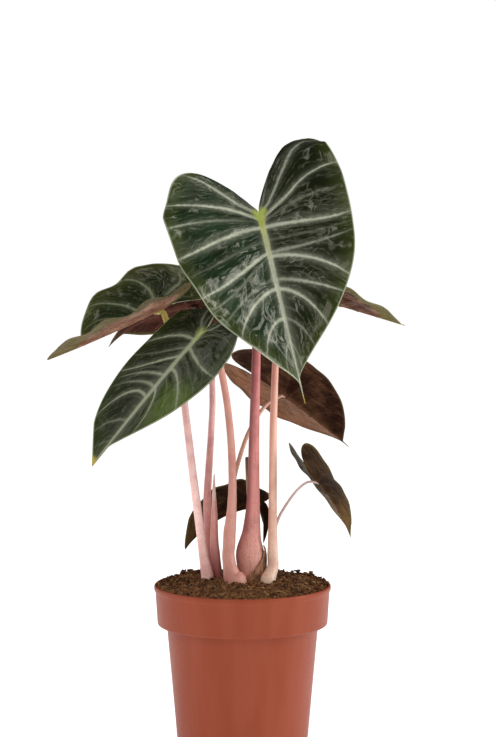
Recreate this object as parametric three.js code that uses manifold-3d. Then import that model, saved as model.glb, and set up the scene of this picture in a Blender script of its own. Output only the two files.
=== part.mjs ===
// Potted alocasia: a nursery pot of thin plastic, filled with peat, in which eight leaf stalks, one pointed
// bud sheath, one cut stalk and one dry scale stand. Each stalk carries one arrow-shaped leaf blade.
// Millimetres, +Z up. Origin: centre of the pot's flat foot. The front is seen looking along +Y.
import * as THREE from 'three';
import { mergeVertices } from 'three/addons/utils/BufferGeometryUtils.js';
import Module from 'manifold-3d';

const wasm = await Module();
wasm.setup();

// ---- driving dimensions ----
const RIM_RADIUS = 70; // outside of the lip
const POT_HEIGHT = 126;
const COLLAR_DEPTH = 31.5; // the wide band below the lip
const COLLAR_FOOT_RADIUS = 67.4;
const BODY_TOP_RADIUS = 60.1; // right below the collar
const FOOT_RADIUS = 52;
const WALL = 1.3;
const FLOOR_TOP = 4;
const RECESS = 2.5; // raised ring under the floor, where the drain holes are
const HUB_RADIUS = 21; // flat middle of the foot
const DRAIN_HOLES = 8;
const DRAIN_HOLE_DIAMETER = 8;
const DRAIN_CIRCLE_RADIUS = 33;
const CHANNELS = 4; // grooves across the foot ring, which let water out
const CHANNEL_WIDTH = 8;
const CHANNEL_DEPTH = 1.5;
const SOIL_EDGE_HEIGHT = 125;
const SOIL_CROWN = 5; // how much higher the soil is in the middle
const SOIL_RADIUS = 67;
const ROOT_DEPTH = 26; // how far each stalk goes into the soil
const GAP = 0.3; // between neighbours
const BLADE_THICKNESS = 0.7;
const KEEL = 1.05; // how far the midrib stands out under a large blade, at the stalk
const LOBE_SHARE = 0.42; // share of a leaf's edge that runs round the lobe behind the stalk
const DRIP_TIP = 0.35; // how much slimmer the last fifth of a blade is
const SLIVER = 5; // half the width at which the drawn-out tip would start, at the widest place
const LINE_SPREAD = 0.55; // how evenly the lines from the midrib to the edge start along it
const LINE_BOW = 0.16; // how far those lines sag back towards the stalk
const BOW_FROM = 0.3 * LOBE_SHARE;
const EDGE_STEPS = 20; // along each half of a leaf's edge
const ACROSS = [0, 0.055, 0.28, 0.53, 0.77, 1]; // from the midrib to the edge
const POT_SIDES = 56;
const SOIL_SIDES = 40;
const STALK_SIDES = 9;

const rad = THREE.MathUtils.degToRad;
const clamp = THREE.MathUtils.clamp;
const V = (x, y, z) => new THREE.Vector3(x, y, z);

const potPlastic = new THREE.MeshStandardMaterial({ color: 0xa95c48, roughness: 0.5 });
const peat = new THREE.MeshStandardMaterial({ color: 0x4c3122, roughness: 1 });
const stalkPink = new THREE.MeshStandardMaterial({ color: 0xcf9a90, roughness: 0.5 });
const stalkRose = new THREE.MeshStandardMaterial({ color: 0xb9787a, roughness: 0.5 });
const leafGreen = new THREE.MeshStandardMaterial({ color: 0x35452f, roughness: 0.4 });
const stubTan = new THREE.MeshStandardMaterial({ color: 0xa88a63, roughness: 0.7 });
const scaleBrown = new THREE.MeshStandardMaterial({ color: 0x7c5038, roughness: 0.9 });

// ---- solids ----
function toSolid(geometry) {
  const bare = geometry.clone();
  bare.deleteAttribute('normal');
  bare.deleteAttribute('uv');
  const merged = mergeVertices(bare, 1e-4);
  return new wasm.Manifold(
    new wasm.Mesh({
      numProp: 3,
      vertProperties: new Float32Array(merged.attributes.position.array),
      triVerts: new Uint32Array(merged.index.array),
    }),
  );
}

function toGeometry(solid) {
  const mesh = solid.getMesh();
  const geometry = new THREE.BufferGeometry();
  geometry.setAttribute('position', new THREE.BufferAttribute(mesh.vertProperties, 3));
  geometry.setIndex(new THREE.BufferAttribute(mesh.triVerts, 1));
  geometry.computeVertexNormals();
  return geometry;
}

// A closed body from loose triangles, given as corners; triangles with two equal corners are left out.
class Skin {
  corners = [];
  triangle(a, b, c) {
    const shortest = Math.min(a.distanceTo(b), b.distanceTo(c), c.distanceTo(a));
    if (shortest < 3e-4) return;
    for (const p of [a, b, c]) this.corners.push(p.x, p.y, p.z);
  }
  quad(a, b, c, d) {
    this.triangle(a, b, c);
    this.triangle(a, c, d);
  }
  geometry() {
    const g = new THREE.BufferGeometry();
    g.setAttribute('position', new THREE.Float32BufferAttribute(this.corners, 3));
    g.computeVertexNormals();
    return g;
  }
}

// A profile of [radius, height] turned round the Z axis.
function turned(profile, sides) {
  const points = profile.map(([r, z]) => new THREE.Vector2(r, z));
  return new THREE.LatheGeometry(points, sides).rotateX(Math.PI / 2);
}

function post(x, y, radius, z0, z1, sides = 24) {
  const g = new THREE.CylinderGeometry(radius, radius, z1 - z0, sides);
  return g.rotateX(Math.PI / 2).translate(x, y, (z0 + z1) / 2);
}

const soilHeight = (x, y) =>
  SOIL_EDGE_HEIGHT + SOIL_CROWN * Math.max(0, 1 - (x * x + y * y) / SOIL_RADIUS ** 2) ** 0.8;

// ---- pot: one thin wall that steps out into the collar, a raised ring with drain holes under the floor ----
const collarFoot = POT_HEIGHT - COLLAR_DEPTH;
const potProfile = [
  [0, 0],
  [HUB_RADIUS, 0],
  [HUB_RADIUS + 1, RECESS],
  [FOOT_RADIUS - 8.5, RECESS],
  [FOOT_RADIUS - 7.5, 0],
  [FOOT_RADIUS - 1, 0],
  [FOOT_RADIUS, 1],
  [BODY_TOP_RADIUS, collarFoot],
  [COLLAR_FOOT_RADIUS - 0.7, collarFoot],
  [COLLAR_FOOT_RADIUS, collarFoot + 0.8],
  [RIM_RADIUS - 0.9, POT_HEIGHT - 4.8],
  [RIM_RADIUS, POT_HEIGHT - 3.8],
  [RIM_RADIUS, POT_HEIGHT - 0.6],
  [RIM_RADIUS - 0.6, POT_HEIGHT],
  [RIM_RADIUS - 1.4, POT_HEIGHT],
  [RIM_RADIUS - 2, POT_HEIGHT - 0.7],
  [COLLAR_FOOT_RADIUS - WALL, collarFoot + WALL + 1],
  [COLLAR_FOOT_RADIUS - WALL - 1, collarFoot + WALL],
  [BODY_TOP_RADIUS - WALL, collarFoot + WALL],
  [FOOT_RADIUS - WALL, FLOOR_TOP + 1.5],
  [FOOT_RADIUS - WALL - 1.5, FLOOR_TOP],
  [0, FLOOR_TOP],
];
let potSolid = toSolid(turned(potProfile, POT_SIDES));
for (let i = 0; i < DRAIN_HOLES; i++) {
  const a = ((i + 0.5) * 2 * Math.PI) / DRAIN_HOLES;
  const x = DRAIN_CIRCLE_RADIUS * Math.cos(a);
  const y = DRAIN_CIRCLE_RADIUS * Math.sin(a);
  potSolid = potSolid.subtract(toSolid(post(x, y, DRAIN_HOLE_DIAMETER / 2, -1, FLOOR_TOP + 1, 16)));
}
for (let i = 0; i < CHANNELS; i++) {
  const groove = new THREE.BoxGeometry(16, CHANNEL_WIDTH, 2 * CHANNEL_DEPTH);
  groove.translate(FOOT_RADIUS - 3, 0, 0).rotateZ((i * 2 * Math.PI) / CHANNELS);
  potSolid = potSolid.subtract(toSolid(groove));
}

// ---- stalks ----
// Each row is [x, y, z, radius] of the stalk's middle line. Below its first row the stalk goes straight down
// into its hole in the soil. One more row, under the blade's midrib, is worked out from the blade.
const STALKS = {
  top: [
    [6, 4, 132, 10.2], [6.7, 4, 139.7, 10.8], [6.2, 4, 147.8, 11.4], [6.1, 4, 153.8, 10.6],
    [6.4, 3.8, 159.8, 8.9], [7, 3.5, 165.5, 7.6], [7.5, 3, 172.7, 6.7], [8.2, 2.5, 186.4, 5.5],
    [8.6, 2, 205.6, 4.8], [8.8, 1, 226.5, 4.4], [9.1, 1, 246.3, 4.1], [9.8, 0, 272.6, 3.8],
    [10.4, 0, 292.4, 3.6], [11.3, -1, 328, 3.3], [11.8, -4, 367.4, 3.1], [12.5, -9, 398.9, 3],
    [12.8, -16, 408, 2.9],
  ],
  front_left: [
    [-5.4, -13.2, 130.2, 8.8], [-8.1, -12.4, 134.2, 7.2], [-9.7, -11.5, 139.9, 5.9],
    [-10.7, -10, 144.9, 5.2], [-11.3, -8, 151.3, 4.9], [-10.7, -7, 159.1, 4.9], [-10.3, -5, 168.4, 4.9],
    [-9.2, -4.5, 178.7, 4.3], [-8.4, -4, 189.7, 3.7], [-7.9, -3, 207.1, 3.2], [-8.6, -3, 233.3, 3],
    [-10.1, -5, 253.3, 2.85], [-12.4, -8, 273.4, 2.75], [-16.5, -15, 297.7, 2.7], [-20.3, -28, 317, 2.4],
  ],
  far_left: [
    [-27.8, 6, 131.3, 5.2], [-30.7, 6, 147.4, 3.9], [-32.8, 7, 162.5, 3.5], [-36.6, 8, 192, 3.3],
    [-39.7, 10, 215.7, 3.15], [-41.6, 11, 231.6, 3.05], [-44.5, 13, 255.3, 2.9], [-48.1, 18, 282.7, 2.8],
    [-53.4, 26, 310, 2.6], [-59.6, 29, 329.8, 2.5],
  ],
  behind_left: [
    [-23.2, 20.8, 131.1, 3.9], [-25.1, 19.8, 146, 3.6], [-27.3, 20, 166.1, 3.4], [-28.3, 22.5, 190, 3.1],
    [-26.9, 26, 216.1, 2.9], [-25.2, 30, 243, 2.6], [-24.2, 37, 272.9, 2.45], [-26.7, 56, 319.7, 2.25],
    [-32.2, 68, 331.8, 2.1],
  ],
  behind_right: [
    [20.2, -7.6, 130, 6.2], [22.1, -4.6, 135, 5.2], [24.1, -2, 140.7, 4.5], [24, 0, 150.8, 4.25],
    [23.9, 1, 161.1, 3.8], [23.9, 3, 179.1, 3.4], [24, 5, 206, 3.2], [24.3, 9, 245.4, 3],
    [25, 12, 271.4, 2.85], [26.8, 20, 310.5, 2.6], [30.7, 30, 337.6, 2.3], [31, 38, 345, 2.2],
  ],
  right: [
    [-8.6, 14.5, 131.7, 2], [-8.8, 14.5, 152.5, 1.9], [-7.9, 15, 179, 1.8], [-7.6, 16, 198.9, 1.8],
    [-6.3, 18, 209.9, 1.8], [-2.9, 21, 222.4, 1.8], [2.3, 26, 237.8, 1.7], [7.2, 31, 248.1, 1.65],
    [14, 38.5, 258.2, 1.6], [20.9, 47, 265.4, 1.5],
  ],
  small_right: [
    [24.2, 15.5, 131.2, 1.8], [24.5, 15.5, 150.7, 1.6], [25.3, 15.8, 165.2, 1.5], [28, 16.2, 174.4, 1.3],
    [32.2, 16.8, 182.7, 1.15], [37.4, 17.5, 190.7, 1.1], [43.4, 18.3, 198.3, 1.05], [49.8, 19, 203.7, 1],
    [54.5, 18.8, 205.2, 1],
  ],
  small_low: [
    [12.6, 25, 131.3, 1.7], [12.9, 26, 147, 1.6], [11.5, 33, 161, 1.5], [10, 38, 174, 1.4],
  ],
};
const BUD_SHEATH = [
  [-19.6, 10.8, 131.5, 3.5], [-20.4, 10.5, 138.6, 3.6], [-21.7, 10.5, 149.9, 3.7],
  [-22.5, 10.5, 159.6, 3.5], [-22.3, 10.5, 175.6, 2.75], [-22.4, 10.5, 187.7, 2.1],
  [-22.6, 10.5, 198.9, 1.4], [-22.4, 10.5, 212.5, 0.4],
];
const CUT_STALK = [
  [7, 20.5, 131.6, 2], [6.6, 20, 151.6, 2], [6.3, 18.5, 174.4, 2], [5.2, 16.5, 193.2, 1.9],
  [4.2, 15, 209.5, 1.75], [3.6, 14.5, 225.2, 1.6],
];

// A smooth line through the rows: position t counts rows, and the line leaves the first row straight up.
function along(rows, t) {
  const i = Math.min(Math.floor(t), rows.length - 2);
  const f = t - i;
  const p1 = rows[i];
  const p2 = rows[i + 1];
  const p0 = i > 0 ? rows[i - 1] : [p1[0], p1[1], p1[2] - 8, p1[3]];
  const p3 = i + 2 < rows.length ? rows[i + 2] : p2.map((v, k) => 2 * v - p1[k]);
  return p1.map((v, k) => {
    const a = -p0[k] + p2[k];
    const b = 2 * p0[k] - 5 * v + 4 * p2[k] - p3[k];
    const c = -p0[k] + 3 * v - 3 * p2[k] + p3[k];
    return 0.5 * (2 * v + a * f + b * f * f + c * f ** 3);
  });
}

function stalkRings(rows, perRow) {
  const [x, y, , r] = rows[0];
  const line = [[x, y, soilHeight(x, y) - ROOT_DEPTH, r]];
  const n = (rows.length - 1) * perRow;
  for (let j = 0; j <= n; j++) line.push(along(rows, j / perRow));
  return line;
}

function tube(rows, sides, perRow = 1) {
  const line = stalkRings(rows, perRow);
  const rings = line.map((p, i) => {
    const q = line[Math.min(i + 1, line.length - 1)];
    const o = line[Math.max(i - 1, 0)];
    const d = i < 2 ? V(0, 0, 1) : V(q[0] - o[0], q[1] - o[1], q[2] - o[2]).normalize();
    const a = new THREE.Vector3().crossVectors(d, V(0, 1, 0.02)).normalize();
    const b = new THREE.Vector3().crossVectors(d, a);
    return Array.from({ length: sides }, (_, k) => {
      const w = (k * 2 * Math.PI) / sides;
      const centre = V(p[0], p[1], p[2]);
      return centre.addScaledVector(a, p[3] * Math.cos(w)).addScaledVector(b, p[3] * Math.sin(w));
    });
  });
  const skin = new Skin();
  for (let i = 0; i + 1 < rings.length; i++)
    for (let k = 0; k < sides; k++) {
      const m = (k + 1) % sides;
      skin.quad(rings[i][k], rings[i][m], rings[i + 1][m], rings[i + 1][k]);
    }
  const first = rings[0];
  const last = rings.at(-1);
  for (let k = 1; k + 1 < sides; k++) {
    skin.triangle(first[0], first[k + 1], first[k]);
    skin.triangle(last[0], last[k], last[k + 1]);
  }
  return skin.geometry();
}

// ---- leaf blades ----
// Each blade is flat-cut first: y runs along the midrib from the stalk (0) to the tip (length), x to the right
// and left of it. The edge runs from the stalk round the back lobe, "lobe" long, and out to the body's end, a
// share of the length, from where a sliver of a tip goes on. Then the blade is bent: it droops along its
// length, its halves fold up from the midrib and curl down again towards the edge, it sweeps sideways by bend,
// twists and waves. Values in brackets are for the left and the right half.
// neck: the stalk's radius at the blade. at: where the stalk meets the midrib. yaw: where the tip points, seen
// from above. pitch: how steeply down it points. Angles are in degrees.
const LEAVES = {
  top: {
    neck: 2.8, at: [12.9, -20.5, 420.3], yaw: -59, pitch: 65, roll: -35, length: 154, halfWidth: 80.5,
    lobe: 56.2, droop: 16, curl: 24, bend: 0, twist: 24, lobeDroop: [39, -18], fold: [12, 38],
    lobeFold: [-20, 20], wide: [0.88, 0.99], lobeLong: [1.27, 0.59], lobeShape: [0.72, 0.74],
    shoulder: [2.72, 3.25], point: [1.46, 1.21], end: [0.88, 0.9], wave: 8.3, phase: 0.9,
  },
  front_left: {
    neck: 2.3, at: [-30.4, -34, 328.8], yaw: -174, pitch: 48, roll: 33, length: 135.8, halfWidth: 51.3,
    lobe: 23.1, droop: 9, curl: 20, bend: 4, twist: 25, lobeDroop: [25, -15], fold: [18, 5],
    lobeFold: [6, -32], wide: [1.04, 0.84], lobeLong: [0.87, 1.05], lobeShape: [-0.01, -0.26],
    shoulder: [1.87, 3.13], point: [1.23, 0.92], end: [0.87, 1], wave: -0.4, phase: 3.1,
  },
  far_left: {
    neck: 2.4, at: [-62.5, 29, 344.1], yaw: 176, pitch: 27, roll: 25, length: 111.5, halfWidth: 49.2,
    lobe: 23.4, droop: 14, curl: 16, bend: 40, twist: -6, lobeDroop: [-3, 51], fold: [43, 42],
    lobeFold: [2, 9], wide: [0.93, 0.87], lobeLong: [1.35, 1.12], lobeShape: [0.09, -0.65],
    shoulder: [2.19, 3.76], point: [0.75, 0.75], end: [1, 0.68], wave: 3.4, phase: -0.3,
  },
  behind_left: {
    neck: 2, at: [-35.5, 72, 343], yaw: 176, pitch: 6, roll: -60, length: 91, halfWidth: 29.9, lobe: 30,
    droop: 66, curl: 14, bend: 1, twist: 0, lobeDroop: [26, 12], fold: [-10, 12], lobeFold: [-8, 0],
    wide: [0.77, 0.84], lobeLong: [0.9, 1], lobeShape: [0.35, 0.35], shoulder: [0.7, 2.94],
    point: [0.51, 1.34], end: [0.97, 0.8], wave: 2, phase: -0.6,
  },
  behind_right: {
    neck: 2.1, at: [36.4, 42, 356.9], yaw: 5, pitch: 16, roll: 9, length: 100.2, halfWidth: 46.3,
    lobe: 36, droop: 1, curl: 20, bend: -8, twist: -18, lobeDroop: [10, 10], fold: [20, 27],
    lobeFold: [0, 0], wide: [1, 1.01], lobeLong: [1, 1], lobeShape: [0.35, 0.35], shoulder: [3.1, 3.96],
    point: [1.3, 0.95], end: [0.93, 0.97], wave: -1.9, phase: 3.1,
  },
  right: {
    neck: 1.3, at: [30.3, 60, 273], yaw: 17, pitch: 36, roll: 26, length: 73, halfWidth: 48.3,
    lobe: 47.1, droop: 11, curl: 20, bend: 9, twist: -1, lobeDroop: [0, 21], fold: [22, 29],
    lobeFold: [5, -8], wide: [1.11, 0.86], lobeLong: [0.83, 1.18], lobeShape: [0.51, -0.17],
    shoulder: [3, 2.22], point: [1.18, 0.9], end: [0.94, 0.91], wave: 0.6, phase: 3.4,
  },
  small_right: {
    neck: 1, at: [58.3, 20, 207.2], yaw: 13, pitch: 47, roll: 26, length: 54.8, halfWidth: 38.2,
    lobe: 33, droop: 37, curl: 20, bend: 14, twist: 0, lobeDroop: [-11, -1], fold: [39, -5],
    lobeFold: [3, 15], wide: [1.17, 1.03], lobeLong: [1, 0.97], lobeShape: [0.06, 0.12],
    shoulder: [3.88, 1.89], point: [1.23, 1.24], end: [1, 1], wave: -0.4, phase: 1.5,
  },
  small_low: {
    neck: 1.3, at: [16, 57, 184], yaw: 154, pitch: 8, roll: -47, length: 78.6, halfWidth: 32,
    lobe: 14.5, droop: 51, curl: 18, bend: 21, twist: -18, lobeDroop: [-23, 0], fold: [2, -47],
    lobeFold: [-12, -4], wide: [0.98, 1.03], lobeLong: [0.57, 0.36], lobeShape: [-0.63, -0.37],
    shoulder: [2.01, 0.16], point: [0.66, 1.4], end: [1, 1], wave: -1.8, phase: 1.7,
  },
};

// The flat edge at share u: 0 at the stalk, LOBE_SHARE at the widest place, 1 at the tip.
function edgePoint(leaf, right, u) {
  const width = leaf.halfWidth * leaf.wide[right];
  const lobe = leaf.lobe * leaf.lobeLong[right];
  if (u <= LOBE_SHARE) {
    const turn = Math.PI * (1 - u / LOBE_SHARE);
    const back = Math.sin(turn) * (1 + leaf.lobeShape[right] * Math.cos(turn));
    return [width * (0.5 + 0.5 * Math.cos(turn)), u > 0 && u < LOBE_SHARE ? -lobe * back : 0];
  }
  const out = (u - LOBE_SHARE) / (1 - LOBE_SHARE);
  const drip = 1 - DRIP_TIP * clamp((out - 0.8) / 0.2, 0, 1);
  const body = Math.min(1, out / leaf.end[right]);
  const taper = Math.max(0, 1 - body ** leaf.shoulder[right]) ** leaf.point[right];
  return [Math.max(width * taper * drip, SLIVER * (1 - out)), out * leaf.length];
}

// The flat point at share u along the edge and v from the midrib (0) to the edge (1).
function flatPoint(leaf, right, u, v) {
  const [ex, ey] = edgePoint(leaf, right, u);
  const t = clamp((u - LOBE_SHARE) / (1 - LOBE_SHARE), 0, 1);
  const my = (LINE_SPREAD * t + (1 - LINE_SPREAD) * t ** 4) * leaf.length;
  const reach = clamp((u - BOW_FROM) / (1 - BOW_FROM), 0, 1);
  const bow = LINE_BOW * v * (1 - v) * leaf.length * (reach < 1 ? Math.sin(Math.PI * reach) : 0);
  return [v * ex, (1 - v) * my + v * ey - bow];
}

function leafFrame(leaf) {
  const yaw = rad(leaf.yaw);
  const pitch = rad(leaf.pitch);
  const roll = rad(leaf.roll);
  const ahead = V(Math.cos(yaw), Math.sin(yaw), 0);
  const tip = ahead.clone().multiplyScalar(Math.cos(pitch)).add(V(0, 0, -Math.sin(pitch)));
  const face = ahead.clone().multiplyScalar(Math.sin(pitch)).add(V(0, 0, Math.cos(pitch)));
  const side = new THREE.Vector3().crossVectors(tip, face);
  const c = Math.cos(roll);
  const s = Math.sin(roll);
  return {
    tip,
    side: side.clone().multiplyScalar(c).addScaledVector(face, s),
    face: face.clone().multiplyScalar(c).addScaledVector(side, -s),
  };
}

// The bent place of a flat point, and the direction that the upper face looks in at the midrib there.
function bent(leaf, frame, right, x, y) {
  const ahead = y >= 0;
  let droop = rad(ahead ? leaf.droop : leaf.lobeDroop[right]);
  if (Math.abs(droop) < 1e-4) droop = 1e-4;
  const span = ahead ? leaf.length : leaf.lobe;
  const sign = ahead ? 1 : -1;
  const a = (droop * Math.abs(y)) / span;
  const middle = V(...leaf.at)
    .addScaledVector(frame.tip, (sign * span * Math.sin(a)) / droop)
    .addScaledVector(frame.face, (-span * (1 - Math.cos(a))) / droop)
    .addScaledVector(frame.side, (0.5 * rad(leaf.bend) * Math.max(y, 0) ** 2) / leaf.length);
  const face = frame.face.clone().multiplyScalar(Math.cos(a)).addScaledVector(frame.tip, sign * Math.sin(a));
  const twist = rad((leaf.twist * y) / leaf.length);
  const side = frame.side.clone().multiplyScalar(Math.cos(twist)).addScaledVector(face, Math.sin(twist));
  const up = face.clone().multiplyScalar(Math.cos(twist)).addScaledVector(frame.side, -Math.sin(twist));
  const s = Math.abs(x);
  const width = leaf.halfWidth;
  const inLobe = clamp(-y / leaf.lobe, 0, 1);
  const fold = rad(leaf.fold[right] + leaf.lobeFold[right] * inLobe);
  const curl = rad(leaf.curl);
  const turn = fold - (curl * s) / width;
  const across = (width / curl) * (Math.sin(fold) - Math.sin(turn));
  const ripple = Math.sin((6 * Math.PI * y) / leaf.length + leaf.phase + (right ? 0 : 1.3));
  const rise = (width / curl) * (Math.cos(turn) - Math.cos(fold)) + leaf.wave * (s / width) ** 2 * ripple;
  return { place: middle.addScaledVector(side, (right ? 1 : -1) * across).addScaledVector(up, rise), up };
}

const keelSize = (leaf) => KEEL * Math.min(1, leaf.halfWidth / 45);

// The rows of a leaf's stalk with the last one, which ends right under the midrib, GAP below its keel.
function stalkRows(place) {
  const leaf = LEAVES[place];
  const rows = STALKS[place];
  const frame = leafFrame(leaf);
  const before = V(...rows.at(-1).slice(0, 3));
  const start = V(...leaf.at).addScaledVector(frame.tip, 1.5);
  let end = start;
  for (let i = 0; i < 4; i++) {
    const lean = end.clone().sub(before).normalize().dot(frame.face);
    const drop = BLADE_THICKNESS / 2 + keelSize(leaf) + GAP + leaf.neck * Math.sqrt(1 - lean * lean);
    end = start.clone().addScaledVector(frame.face, -drop);
  }
  return [...rows, [end.x, end.y, end.z, leaf.neck]];
}

// Upper and lower points of a blade at (u, v): the lower face has a keel under the midrib.
function bladePoints(leaf, frame, right, u, v) {
  const [x, y] = flatPoint(leaf, right, u, v);
  const { place, up } = bent(leaf, frame, right, x, y);
  let normal = up;
  if (x > 1e-6) {
    const d = 0.05;
    const px = bent(leaf, frame, right, x + d, y).place.sub(bent(leaf, frame, right, x - d, y).place);
    const py = bent(leaf, frame, right, x, y + d).place.sub(bent(leaf, frame, right, x, y - d).place);
    normal = new THREE.Vector3().crossVectors(px, py).normalize();
    if (normal.dot(up) < 0) normal.negate();
  }
  const keel = keelSize(leaf) * Math.exp(-((x / 1.8) ** 2)) * (1 - 0.85 * clamp(y / leaf.length, 0, 1));
  const half = BLADE_THICKNESS / 2;
  return [
    place.clone().addScaledVector(normal, half),
    place.clone().addScaledVector(normal, -half - keel),
  ];
}

function blade(leaf) {
  const frame = leafFrame(leaf);
  const skin = new Skin();
  for (const right of [1, 0]) {
    const grid = [];
    for (let i = 0; i <= EDGE_STEPS; i++)
      grid.push(ACROSS.map((v) => bladePoints(leaf, frame, right, i / EDGE_STEPS, v)));
    const last = ACROSS.length - 1;
    const put = (a, b, c, d) => (right ? skin.quad(a, b, c, d) : skin.quad(d, c, b, a));
    for (let i = 0; i < EDGE_STEPS; i++) {
      for (let j = 0; j < last; j++) {
        const [a, b, c, d] = [grid[i][j], grid[i][j + 1], grid[i + 1][j + 1], grid[i + 1][j]];
        // both faces are cut along the same diagonal
        put(a[0], b[0], c[0], d[0]);
        if (right) {
          skin.triangle(a[1], c[1], b[1]);
          skin.triangle(a[1], d[1], c[1]);
        } else {
          skin.triangle(d[1], b[1], c[1]);
          skin.triangle(d[1], a[1], b[1]);
        }
      }
      const e = grid[i][last];
      const f = grid[i + 1][last];
      put(e[1], f[1], f[0], e[0]);
    }
  }
  return skin.geometry();
}

// ---- dry scale: the brown remains of an old leaf base, wrapped round the thick stalk's front right ----
const SCALE_FROM = -104;
const SCALE_TO = 54;
const SCALE_CREST = -8; // where round the stalk it stands highest
const SCALE_FOOT = 112;
const SCALE_SHOULDER = 134;
const SCALE_POINT = 157;
function scalePoint(angle, share, offset) {
  const side = angle < SCALE_CREST ? SCALE_FROM : SCALE_TO;
  const lean = Math.max(0, 1 - (angle - SCALE_CREST) / (side - SCALE_CREST));
  const z = SCALE_FOOT + share * (SCALE_SHOULDER + (SCALE_POINT - SCALE_SHOULDER) * lean ** 1.3 - SCALE_FOOT);
  const rows = STALKS.top;
  let [x, y, , r] = rows[0];
  if (z > rows[0][2]) {
    let t = 0;
    while (t < 4 && along(rows, t)[2] < z) t += 0.02;
    [x, y, , r] = along(rows, t);
  }
  const reach = r + offset;
  return V(x + reach * Math.cos(rad(angle)), y + reach * Math.sin(rad(angle)), z);
}
function scaleGeometry(inner, outer, spare, deeper) {
  const n = 12;
  const m = 7;
  const skin = new Skin();
  const at = (i, j, offset) => {
    const p = scalePoint(SCALE_FROM - spare + ((SCALE_TO - SCALE_FROM + 2 * spare) * i) / n, j / m, offset);
    if (j === 0) p.z -= deeper;
    return p;
  };
  for (let i = 0; i < n; i++) {
    for (let j = 0; j < m; j++) {
      skin.quad(at(i, j, outer), at(i + 1, j, outer), at(i + 1, j + 1, outer), at(i, j + 1, outer));
      skin.quad(at(i, j + 1, inner), at(i + 1, j + 1, inner), at(i + 1, j, inner), at(i, j, inner));
    }
    skin.quad(at(i, m, outer), at(i + 1, m, outer), at(i + 1, m, inner), at(i, m, inner));
    skin.quad(at(i + 1, 0, outer), at(i, 0, outer), at(i, 0, inner), at(i + 1, 0, inner));
  }
  for (let j = 0; j < m; j++) {
    skin.quad(at(0, j, inner), at(0, j, outer), at(0, j + 1, outer), at(0, j + 1, inner));
    skin.quad(at(n, j, outer), at(n, j, inner), at(n, j + 1, inner), at(n, j + 1, outer));
  }
  return skin.geometry();
}

// ---- soil: fills the pot to just below the lip, mounded, with a plain hole for each stalk ----
const soilProfile = [
  [0, FLOOR_TOP + GAP],
  [FOOT_RADIUS - WALL - 1.8, FLOOR_TOP + GAP],
  [FOOT_RADIUS - WALL - GAP - 0.2, FLOOR_TOP + 1.9],
  [BODY_TOP_RADIUS - WALL - GAP, collarFoot + WALL + GAP],
  [COLLAR_FOOT_RADIUS - WALL - 1.5, collarFoot + WALL + GAP],
  [COLLAR_FOOT_RADIUS - WALL - GAP - 0.2, collarFoot + WALL + 1.6],
  [SOIL_RADIUS, SOIL_EDGE_HEIGHT],
];
for (let i = 9; i > 0; i--) soilProfile.push([(SOIL_RADIUS * i) / 10, soilHeight((SOIL_RADIUS * i) / 10, 0)]);
soilProfile.push([0, soilHeight(0, 0)]);
let soilSolid = toSolid(turned(soilProfile, SOIL_SIDES));
for (const rows of [...Object.values(STALKS), BUD_SHEATH, CUT_STALK]) {
  const [x, y, , r] = rows[0];
  const bottom = soilHeight(x, y) - ROOT_DEPTH - GAP;
  soilSolid = soilSolid.subtract(toSolid(post(x, y, r + GAP, bottom, POT_HEIGHT + 12, r > 5 ? 28 : 16)));
}
soilSolid = soilSolid.subtract(toSolid(scaleGeometry(-1, 1.9, 3, GAP)));

// ---- the scene graph ----
const plant = new THREE.Group();
plant.name = 'potted_alocasia';
function add(name, geometry, material) {
  const mesh = new THREE.Mesh(geometry, material);
  mesh.name = name;
  plant.add(mesh);
}
add('pot', toGeometry(potSolid), potPlastic);
add('soil', toGeometry(soilSolid), peat);
for (const place of Object.keys(STALKS)) {
  const thick = place === 'top';
  add('stalk_' + place, tube(stalkRows(place), thick ? 14 : STALK_SIDES), thick ? stalkRose : stalkPink);
}
for (const [place, leaf] of Object.entries(LEAVES)) add('blade_' + place, blade(leaf), leafGreen);
add('bud_sheath', tube(BUD_SHEATH, STALK_SIDES), stalkPink);
add('cut_stalk', tube(CUT_STALK, STALK_SIDES), stubTan);
add('dry_scale', scaleGeometry(0.5, 1.6, 0, 0), scaleBrown);

export default plant;
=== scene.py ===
from math import cos, pi, radians, sin, sqrt

import bpy
import numpy as np
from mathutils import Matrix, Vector, noise


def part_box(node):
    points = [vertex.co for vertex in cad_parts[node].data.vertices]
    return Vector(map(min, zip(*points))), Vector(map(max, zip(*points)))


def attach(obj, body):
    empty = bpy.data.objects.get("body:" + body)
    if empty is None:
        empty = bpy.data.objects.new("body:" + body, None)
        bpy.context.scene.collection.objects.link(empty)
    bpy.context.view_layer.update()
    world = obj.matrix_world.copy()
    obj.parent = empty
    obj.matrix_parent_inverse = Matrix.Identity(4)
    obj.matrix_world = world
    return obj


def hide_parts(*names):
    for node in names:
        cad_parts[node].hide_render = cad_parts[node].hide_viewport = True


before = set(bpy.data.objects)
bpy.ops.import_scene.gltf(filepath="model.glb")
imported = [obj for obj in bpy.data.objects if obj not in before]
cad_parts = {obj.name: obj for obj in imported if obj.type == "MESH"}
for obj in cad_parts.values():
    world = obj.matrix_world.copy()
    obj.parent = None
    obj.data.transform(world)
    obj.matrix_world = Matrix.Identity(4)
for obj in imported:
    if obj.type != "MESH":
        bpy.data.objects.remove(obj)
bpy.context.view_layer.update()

MM = 0.001

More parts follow.
